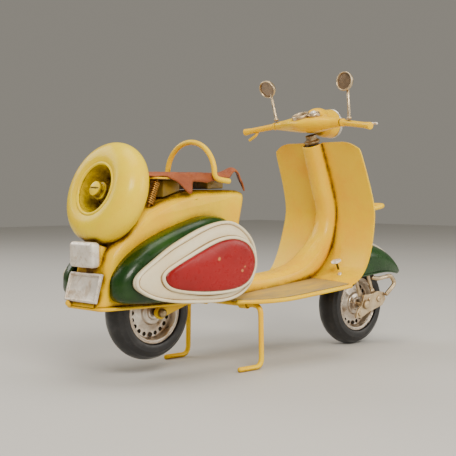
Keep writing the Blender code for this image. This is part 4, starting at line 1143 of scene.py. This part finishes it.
def build_spine():
    keys = []
    for height, half, depth in ((107.6, 5.2, 5.0), (96.0, 5.4, 5.2), (84.0, 5.6, 5.6), (74.0, 5.8, 6.4)):
        base = on_steering(height) + STEER_BACK * 0.6
        keys.append((*base, *STEER_BACK, half, depth, 0.9))
    for x, z, half, depth, lean, square in (
            (120.8, 62.4, 6.2, 6.6, 10, 0.9), (114.9, 52.4, 6.8, 7.0, -22, 0.85),
            (107.6, 45.8, 7.2, 6.6, -48, 0.8), (99.0, 41.0, 7.5, 6.0, -70, 0.7),
            (88.0, 38.0, 7.8, 5.6, -84, 0.6), (74.0, 36.0, 8.0, 6.0, -87, 0.55),
            (58.0, 34.9, 8.2, 6.5, -89, 0.5), (43.4, 34.3, 8.4, 7.3, -90, 0.45)):
        out = Vector((-math.cos(math.radians(lean)), 0, -math.sin(math.radians(lean))))
        keys.append((x, 0.0, z, *out, half, depth, square))
    stations = [(Vector(k[0:3]), Vector(k[3:6]).normalized(), k[6], k[7], k[8], True)
                for k in flow(keys, 120)]
    spine = show("spine_rib", mesh_of("spine_rib", grid_bm(channel_rows(stations))), YELLOW, "frame",
                 ("spine_cover", "floor_tunnel"))
    face_out(spine, False)
    thicken(spine, SHEET)
    stations = []
    for height in (105.3, 102.5, 95.0, 87.5, 80.0, 76.0, 68.0, 62.0, 56.0):
        base = Vector((shield_front(height) + 0.5, 0, height))
        depth = (on_steering(height) - base).dot(-STEER_BACK) + 5.7
        stations.append((base, -STEER_BACK, 6.8, depth, 0.9, False))
    nose = show("nose_rib", mesh_of("nose_rib", grid_bm(channel_rows(stations))), YELLOW, "frame",
                ("nose_cover",))
    face_out(nose, True)
    thicken(nose, SHEET)
    tube = [(2.7, 0), (3.5, 0), (3.5, 50.0), (2.7, 50.0)]
    base = on_steering(60.2)
    show("head_tube", mesh_of("head_tube", lathe_bm(tube, at(*base), STEER, 40), 40), YELLOW, "frame",
         ("steering_head_tube",))


def build_front_loop():
    route = rounded_route([(125.6, -17.0, 71.6), (151.2, -17.0, 75.4), (151.2, 17.0, 75.4),
                           (125.6, 17.0, 71.6)], 5.0, 10)
    show("front_wire_loop", mesh_of("front_wire_loop", tube_bm([at(*p) for p in route], 1.25, 18)), YELLOW,
         "frame", ("front_carrier",))


# ---------------------------------------------------------------- stand, arms and pedal

STAND_PIVOT = (47.5, 29.7)


def build_stand():
    toe = (33.0, 1.25)
    half = [(toe[0], 26.3, toe[1]), (STAND_PIVOT[0], 26.1, 1.25), (STAND_PIVOT[0], 25.5, STAND_PIVOT[1])]
    line = [(x, -y, z) for x, y, z in half] + [(x, y, z) for x, y, z in reversed(half)]
    route = [at(*p) for p in rounded_route(line, 4.4, 10)]
    show("stand_wire", mesh_of("stand_wire", tube_bm(route, 1.25, 18)), STAND_YELLOW, "stand",
         ("centre_stand",))
    for prefix in ("right", "left"):
        copy_of("stand_clip_" + prefix, YELLOW, "frame", bevel=0.15)


def nut_profile(sign, face, radius, thick):
    """A domed nut standing off a face on one side of a wheel."""
    return rounded_profile([(0, sign * (face + thick * 1.15)), (radius * 0.55, sign * (face + thick * 1.1)),
                            (radius, sign * (face + thick * 0.7)), (radius, sign * face),
                            (0, sign * face)], 0.3)


def build_axle(name, centre, left, right, head, finish, body, node):
    bm = lathe_bm([(0, -right), (1.3, -right), (1.3, left), (0, left)], centre, (0, 1, 0), 24)
    lathe_bm(nut_profile(-1, right, head, 1.5), centre, (0, 1, 0), 32, bm)
    lathe_bm(nut_profile(1, left, head, 1.5), centre, (0, 1, 0), 32, bm)
    show(name, mesh_of(name, bm, 40), finish, body, (node,))


def build_rear_arm():
    build_axle("rear_axle_shaft", REAR_HUB, 10.4, 10.4, 2.0, COLLAR, "frame", "rear_axle")
    for prefix in ("right", "left"):
        copy_of("rear_arm_" + prefix, YELLOW, "frame", bevel=0.4)


PEDAL_HINGE = (112.0, -18.0, 42.4)
KNOB_SPOT = (112.9, -18.0, 39.9)


def build_pedal():
    """A round pad on a pin, over a small knob that stays with the frame."""
    low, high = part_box("brake_pedal")
    hinge = at(*PEDAL_HINGE)
    pad = Vector((low.x + 2.6 * MM, hinge.y, high.z - 0.9 * MM))
    stalk = pad - hinge
    stem = tube_bm([hinge + stalk.normalized() * 0.9 * MM, pad], 0.55, 14)
    show("pedal_stem", mesh_of("pedal_stem", stem), SOOT_METAL, "pedal", ())
    cap = rounded_profile([(0, -0.7), (1.4, -0.6), (2.7, 0.0), (2.75, 0.4), (1.8, 1.0), (0, 1.2)], 0.3)
    show("pedal_pad", mesh_of("pedal_pad", lathe_bm(cap, pad, stalk, 40)), SILVER, "pedal",
         ("brake_pedal",))
    knob = rounded_profile([(0, -1.6), (1.3, -1.5), (1.6, 0), (1.2, 1.3), (0, 1.6)], 0.4)
    show("pedal_knob", mesh_of("pedal_knob", lathe_bm(knob, at(*KNOB_SPOT), (-0.4, -0.5, 0.8), 28)),
         SILVER, "frame", ())


# ---------------------------------------------------------------- wheels

def tyre_profile():
    """A fat tyre with soft moulded rings in its side walls."""
    outer = []
    for i in range(57):
        angle = math.radians(-16 + 212 * i / 56)
        swell = 0.0
        for ridge in (18, 42, 138, 162):
            swell += 0.22 * math.exp(-((math.degrees(angle) - ridge) / 5.0) ** 2)
        outer.append((16.5 + (5.5 + swell) * math.sin(angle), (6.3 + swell) * math.cos(angle)))
    return outer + [(14.7, -4.4), (13.4, -4.4), (13.4, 4.4), (14.7, 4.4)]


def rim_profile():
    half = [(1.7, 5.6), (3.1, 5.6), (3.5, 5.2), (3.6, 4.2), (5.4, 4.0), (5.8, 3.4), (6.0, 2.7),
            (8.6, 1.7), (11.6, 1.5), (12.1, 2.2), (12.3, 4.4), (12.8, 5.1), (13.3, 5.35), (13.6, 5.1),
            (13.8, 5.1), (14.1, 5.45), (14.4, 5.3), (14.4, 4.7), (13.1, 4.6)]
    rounded = rounded_profile(half[:-2], 0.3, 2) + half[-2:]
    return rounded + [(r, -y) for r, y in reversed(rounded)]


def build_wheel(prefix, hub, body):
    tyre = mesh_of(prefix + "_tyre_body", lathe_bm(tyre_profile(), hub, (0, 1, 0), 120), 55)
    show(prefix + "_tyre_body", tyre, RUBBER, body, (prefix + "_tyre",))
    blank = mesh_of(prefix + "_rim_body", lathe_bm(rim_profile(), Vector(), (0, 0, 1), 96), 50)
    punched = run_tree(RIM_SLOTS, blank, {"Holes": 20, "Ring radius": 10.5 * MM, "Hole radius": 1.05 * MM,
                                          "Face height": 1.6 * MM, "Depth": 1.3 * MM})
    punched.set_sharp_from_angle(angle=math.radians(40))
    show(prefix + "_rim_body", put(punched, hub, (0, 1, 0)), (RIM_METAL, PIT_SHADE), body, (prefix + "_rim",))


SOOT_METAL = make_metal("dark_steel", (0.12, 0.09, 0.07), (0.06, 0.045, 0.035),
                        (0.03, 0.02, 0.01), 0.4).material
RIM_METAL = make_metal("rim_chrome", (0.78, 0.72, 0.64), (0.60, 0.50, 0.40),
                       (0.28, 0.14, 0.05), 0.36, 2.6, 0.85).material
RIM_SLOTS = punch_tree("rim_slots", RIM_METAL)
SPARE_SLOTS = punch_tree("spare_slots", SPARE_YELLOW)
COIL = coil_tree()


# ---------------------------------------------------------------- steering group

def bolt_head(bm, centre, axis, radius, thick):
    profile = rounded_profile([(0, thick), (radius * 0.8, thick * 0.95), (radius, thick * 0.5), (radius, 0),
                               (0, 0)], 0.25)
    return lathe_bm(profile, centre, axis, 20, bm)


def build_fork():
    column = [(0, 0), (2.3, 0), (2.3, 58.6), (3.9, 58.9), (4.2, 59.6), (4.1, 60.3), (2.9, 60.8),
              (2.7, 61.6), (2.9, 63.2), (0, 63.2)]
    base = at(*on_steering(52.8))
    profile = column[:3] + rounded_profile(column[2:], 0.3)[1:]
    show("column_shaft", mesh_of("column_shaft", lathe_bm(profile, base, STEER, 40), 40), COLLAR, "steering",
         ("steering_column",))
    side = 7.9
    axle = Vector((WHEELBASE, 0, WHEEL_RADIUS))
    lift = STEER * 24.8
    out = Vector((0, side, 0))
    route = rounded_route([axle + out + STEER * 3.2, axle + out + lift, axle - out + lift,
                           axle - out + STEER * 5.0], 3.0, 8)
    show("fork_rods", mesh_of("fork_rods", tube_bm([at(*p) for p in route], 1.0, 16)), GOLD, "steering",
         ("front_fork",))
    rod = [at(151.4, -side, 28.6), at(144.2, -side, 46.0)]
    bm = tube_bm(rod, 0.95, 16)
    bolt_head(bm, rod[0] + Vector((0, 0.2 * MM, 0)), (0, -1, 0), 1.5, 1.2)
    show("damper_rod", mesh_of("damper_rod", bm, 45), GOLD, "steering", ("front_damper",))
    copy_of("link_plate", GOLD, "steering", 0.3)
    bm = bmesh.new()
    for x, z, radius in ((153.6, 24.3, 1.7), (137.6, 17.2, 1.2), (145.4, 24.6, 0.9)):
        bolt_head(bm, at(x, -10.9, z), (0, -1, 0), radius, 0.9)
    heads = mesh_of("link_bolts", bm, 45)
    bolts = show("link_bolts", heads, GOLD, "steering", ())
    screw_slot(bolts, at(153.6, -11.9, 24.3), (0.0, -1, 0), 4.0, 0.45, 0.8)
    loop = rounded_route([(150.2, -9.2, 35.9), (153.4, -10.4, 35.3), (162.8, -11.6, 36.6),
                          (166.8, -11.9, 32.2), (158.4, -12.3, 26.6)], 3.2, 8)
    show("loop_rod", mesh_of("loop_rod", tube_bm([at(*p) for p in loop], 1.15, 16)), GOLD, "steering",
         ("suspension_loop",))
    build_axle("front_axle_shaft", FRONT_HUB, 7.4, 11.2, 2.3, GOLD, "steering", "front_axle")


FENDER_CENTRE = (147.4, 9.0)
FENDER_RADIUS = 45.5


def fender_row(angle):
    """One cross-section of the fender: a rounded crown between straight skirts."""
    share = (angle - math.radians(37.0)) / math.radians(116.0)
    swell = math.sin(math.pi * min(max(share, 0.02), 0.98))
    depth = 16.6 * swell ** 0.7
    half = 10.4 * swell ** 0.42
    crown = min(depth * 0.55, half * 0.7)
    row = []
    for i in range(6):
        row.append((-half, depth - (depth - crown) * i / 6))
    for i in range(25):
        turn = math.radians(-90 + 180 * i / 24)
        row.append((half * math.sin(turn), crown * (1 - math.cos(turn))))
    for i in range(6):
        row.append((half, crown + (depth - crown) * (i + 1) / 6))
    return [at(FENDER_CENTRE[0] + (FENDER_RADIUS - drop) * math.cos(angle), y,
               FENDER_CENTRE[1] + (FENDER_RADIUS - drop) * math.sin(angle)) for y, drop in row]


def build_fender():
    angles = [math.radians(40.5 + 109.5 * i / 72) for i in range(73)]
    rows = [fender_row(angle) for angle in angles]
    fender = show("fender_shell", mesh_of("fender_shell", grid_bm(rows)), FENDER_GREEN, "steering",
                  ("front_fender",))
    thicken(fender, SHEET)
    for side in (0, -1):
        hem = [row[side] for row in rows[2:-2]]
        show("fender_hem_" + ("right", "left")[side], mesh_of("fender_hem", tube_bm(hem, 0.5, 8)),
             FENDER_GREEN, "steering", ())
    radius = FENDER_RADIUS + 0.55
    crest = [at(FENDER_CENTRE[0] + radius * math.cos(a), 0, FENDER_CENTRE[1] + radius * math.sin(a))
             for a in (math.radians(39.5 + 67.8 * i / 60) for i in range(61))]
    data = mesh_of("fender_crest", tube_bm(crest, 1.0, 14))
    show("fender_crest", data, CREST_CREAM, "steering", ("fender_trim",))


def oval_row(y, x, z, half_x, half_z, count=40):
    return [at(x + half_x * math.cos(a), y, z + half_z * math.sin(a))
            for a in (2 * math.pi * i / count for i in range(count))]


def build_headset():
    keys = [(-22.3, 108.2, 118.0, 2.3, 2.1), (-19.0, 108.5, 118.0, 3.2, 2.5), (-16.0, 108.8, 118.0, 4.3, 2.9),
            (-9.0, 109.2, 118.0, 7.8, 3.8), (0.0, 109.4, 117.6, 10.4, 4.2), (9.0, 109.2, 118.0, 7.8, 3.8),
            (16.0, 108.8, 118.0, 4.3, 2.9), (19.0, 108.5, 118.0, 3.2, 2.5), (22.3, 108.2, 118.0, 2.3, 2.1)]
    rows = [oval_row(*key) for key in flow(keys, 64)]
    bm = grid_bm(rows, wrap=True)
    bm.verts.ensure_lookup_table()
    bm.faces.new(bm.verts[:40])
    bm.faces.new(bm.verts[-40:])
    show("headset_wing", mesh_of("headset_wing", bm, 50), YELLOW, "steering", ("headset",))
    bowl = rounded_profile([(0, 0), (4.4, 0.2), (6.4, 2.2), (7.25, 6.0), (7.4, 10.6), (7.6, 11.1),
                            (0, 11.1)], 0.5)
    data = mesh_of("headset_bowl", lathe_bm(bowl, at(114.0, 0, 118.7), (1, 0, 0.02), 56), 45)
    show("headset_bowl", data, YELLOW, "steering")
    hump = []
    for i in range(15):
        turn = math.pi * i / 14
        hump.append([])
        for j in range(25):
            swing = math.pi * j / 24
            x = 115.6 + 7.6 * math.cos(swing) * math.sin(turn) ** 0.9
            y = -5.9 * math.cos(turn)
            z = 120.6 + 6.2 * math.sin(swing) * math.sin(turn) ** 0.8
            hump[-1].append(at(x, y, z))
    show("headset_hump", mesh_of("headset_hump", grid_bm(hump)), YELLOW, "steering")
    ring = rounded_profile([(5.8, 0.2), (7.5, -0.2), (7.9, 0.8), (7.5, 2.2), (6.6, 2.7), (5.8, 2.1)], 0.4)
    data = mesh_of("headlight_bezel", lathe_bm(ring, at(125.3, 0, 118.95), (1, 0, 0.02), 72))
    show("headlight_bezel", data, CHROME, "steering", ("headlight_ring",))
    lens = [(0, 0), (5.6, 0), (5.5, 1.0), (5.0, 1.7), (4.0, 2.3), (2.4, 2.75), (0, 2.9)]
    data = mesh_of("headlight_glass", lathe_bm(lens, at(125.3, 0, 118.95), (1, 0, 0.02), 48))
    show("headlight_glass", data, LAMP_GLASS, "steering", ("headlight_lens",))
    build_dial()
    for side, prefix in ((-1, "right"), (1, "left")):
        start = at(108.2, side * 22.6, 118.0)
        end = at(105.0, side * 44.3, 115.2)
        length = (end - start).length / MM
        profile = rounded_profile([(0, 0.3), (2.0, 0.3), (2.05, 1.6), (1.6, 2.2), (1.5, 8.0),
                                   (1.5, length - 5), (1.75, length - 2), (1.85, length - 0.3),
                                   (0, length)], 0.25)
        bar = lathe_bm(profile, start, end - start, 32)
        show(prefix + "_grip_bar", mesh_of(prefix + "_grip_bar", bar, 50), YELLOW, "steering",
             (prefix + "_grip",))
    lever = rounded_route([(112.2, -20.0, 117.6), (112.4, -27.0, 117.4), (109.6, -44.3, 116.6)], 4, 8)
    show("right_lever_rod", mesh_of("right_lever_rod", tube_bm([at(*p) for p in lever], 0.6, 12)), SILVER,
         "steering", ("right_lever",))
    lever = rounded_route([(106.9, 35.8, 115.4), (106.4, 37.2, 113.2), (105.9, 41.2, 110.9)], 2.0, 8)
    show("left_lever_rod", mesh_of("left_lever_rod", tube_bm([at(*p) for p in lever], 0.8, 12)), YELLOW,
         "steering", ("left_lever",))


def dial_ring(name, centre, lean, radius, glass):
    """A rolled bezel round a dished face."""
    bezel = rounded_profile([(radius - 1.2, 0.6), (radius - 0.9, 1.6), (radius - 0.4, 1.8), (radius, 1.2),
                             (radius, -0.4), (radius - 1.2, -0.4)], 0.25)
    show(name + "_bezel", mesh_of(name + "_bezel", lathe_bm(bezel, centre, lean, 64), 60), GOLD, "steering",
         ("speedometer",) if name == "dial" else ())
    face = [(0, 0.5), (radius * 0.5, 0.55), (radius - 1.1, 0.8), (radius - 1.1, -0.2), (0, -0.2)]
    show(name + "_face", mesh_of(name + "_face", lathe_bm(face, centre, lean, 48), 60), glass, "steering",
         ())


def build_dial():
    """Two dished dials in rolled bezels, the smaller with a bright knob on it."""
    lean = Vector((-0.42, 0, 1)).normalized()
    dial_ring("dial", at(104.6, 1.8, 121.4), lean, 4.7, PAINTED_REFLECTION_GLASS)
    dial_ring("switch", at(106.6, -5.4, 121.9), lean, 3.3, COLLAR)
    knob = rounded_profile([(0, 3.0), (1.3, 2.6), (1.7, 1.4), (1.5, 0.4), (0, 0.4)], 0.4)
    show("dial_knob", mesh_of("dial_knob", lathe_bm(knob, at(106.6, -5.4, 121.9), lean, 32)), SILVER,
         "steering", ())


# Node, body, foot of the stem, middle of the head, and the way that the glass faces.
MIRRORS = (("right_mirror", "mirror_right", (106.4, -29.2, 119.3), (105.9, -27.1, 138.2),
            (-1.0, -0.06, 0.05)),
           ("left_mirror", "mirror_left", (106.4, 21.4, 120.7), (105.9, 27.1, 138.0),
            (-0.89, -0.15, -0.42)))


def build_mirrors():
    for node, body, foot, head, facing in MIRRORS:
        facing = Vector(facing).normalized()
        foot, head = at(*foot), at(*head)
        cup = rounded_profile([(0, -2.4), (1.6, -2.3), (3.2, -1.8), (4.4, -0.7), (4.9, 0.7), (4.85, 1.5),
                               (4.45, 1.7), (4.15, 1.3), (4.1, 0.5), (0, 0.5)], 0.35)
        show(node + "_cup", mesh_of(node + "_cup", lathe_bm(cup, head, facing, 56), 60), GOLD, body, (node,))
        face = [(0, 1.0), (3.0, 0.95), (4.15, 0.75), (4.15, 0.5), (0, 0.5)]
        disc = mesh_of(node + "_face", lathe_bm(face, head, facing, 48), 40)
        show(node + "_face", disc, PAINTED_REFLECTION_GLASS, body, ())
        top = head - facing * 1.3 * MM - (head - foot).normalized() * 4.0 * MM
        bm = tube_bm([foot, top], 0.72, 14)
        collar = rounded_profile([(0, 1.4), (0.9, 1.3), (1.25, 0.8), (1.25, 0), (0, 0)], 0.2)
        lathe_bm(collar, foot, top - foot, 24, bm)
        show(node + "_stem", mesh_of(node + "_stem", bm, 50), GOLD, body, ())


def make_fender_green():
    """Green enamel that turns brown along the skirt's lower edge."""
    paint = enamel("fender_green_enamel", (0.012, 0.056, 0.009), (0.007, 0.036, 0.007),
                   (0.006, 0.012, 0.004), 2.0)
    base = paint.shader.inputs["Base Color"].links[0].from_socket
    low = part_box("front_fender")[0].z
    edge_height = paint.plus(paint.axis("Z"), paint.times(paint.noise(260, 3), 0.003))
    lower_edge_brown = paint.ramp(edge_height, low + 3.0 * MM, low + 6.5 * MM, 1.0, 0.0)
    paint.colour(paint.mix(lower_edge_brown, base, (0.10, 0.045, 0.015)))
    return paint.material


def make_crest_cream():
    paint = enamel("crest_cream_enamel", (0.66, 0.62, 0.50), (0.52, 0.46, 0.35), (0.20, 0.14, 0.07), 1.2, 0.8)
    return paint.material


FENDER_GREEN = make_fender_green()
CREST_CREAM = make_crest_cream()

build_rear_body()
build_cowls()
build_spare()
build_tail()
build_seat()
build_floor()
build_shield()
build_spine()
build_front_loop()
build_stand()
build_rear_arm()
build_pedal()
build_wheel("rear", REAR_HUB, "rear_wheel")
build_wheel("front", FRONT_HUB, "front_wheel")
build_fork()
build_fender()
build_headset()
build_mirrors()


# ---------------------------------------------------------------- floor, light and camera

def build_stage():
    half = 1.6
    bm = bmesh.new()
    corners = [(-half, -half, 0), (half, -half, 0), (half, half, 0), (-half, half, 0)]
    bm.faces.new([bm.verts.new(c) for c in corners])
    data = bpy.data.meshes.new("studio_floor")
    bm.to_mesh(data)
    bm.free()
    ground = Finish("studio_floor", 0.6)
    ground.colour(ground.mix(ground.noise(6, 3), (0.60, 0.59, 0.57), (0.64, 0.63, 0.61)))
    data.materials.append(ground.material)
    item = bpy.data.objects.new("studio_floor", data)
    bpy.context.scene.collection.objects.link(item)


def add_light(name, spot, target, size, power, tint):
    lamp = bpy.data.lights.new(name, "AREA")
    lamp.shape = "RECTANGLE"
    lamp.size, lamp.size_y = size
    lamp.energy = power
    lamp.color = tint
    item = bpy.data.objects.new(name, lamp)
    item.location = spot
    item.rotation_euler = (Vector(target) - Vector(spot)).to_track_quat("-Z", "Y").to_euler()
    bpy.context.scene.collection.objects.link(item)


def build_lights():
    aim = (0.0, 0.0, 0.06)
    add_light("key_light", (-0.45, -0.75, 0.62), aim, (0.45, 0.35), 9.6, (1.0, 0.94, 0.83))
    add_light("fill_light", (0.65, -0.7, 0.35), aim, (0.6, 0.5), 3.6, (1.0, 0.95, 0.86))
    add_light("back_light", (-0.3, 0.8, 0.6), aim, (0.7, 0.5), 4.0, (1.0, 0.96, 0.90))
    add_light("top_light", (0.05, 0.0, 0.95), aim, (0.7, 0.7), 5.4, (1.0, 0.95, 0.86))
    world = bpy.data.worlds.new("studio")
    bpy.context.scene.world = world
    world.use_nodes = True
    world.node_tree.nodes["Background"].inputs["Color"].default_value = (0.62, 0.58, 0.50, 1.0)
    world.node_tree.nodes["Background"].inputs["Strength"].default_value = 0.42


def build_camera():
    """Low at the rear right corner, looking forward along the machine."""
    azimuth, elevation = math.radians(-43.42), math.radians(2.189)
    back = Vector((math.sin(azimuth) * math.cos(elevation), -math.cos(azimuth) * math.cos(elevation),
                   math.sin(elevation)))
    lens = bpy.data.cameras.new("camera")
    lens.lens = 84.46
    lens.sensor_width = 36.0
    lens.clip_start = 0.01
    item = bpy.data.objects.new("camera", lens)
    item.location = at(-306.7, -377.5, 85.25)
    item.rotation_mode = "QUATERNION"
    item.rotation_quaternion = (-back).to_track_quat("-Z", "Y")
    bpy.context.scene.collection.objects.link(item)
    bpy.context.scene.camera = item


build_stage()
build_lights()
build_camera()
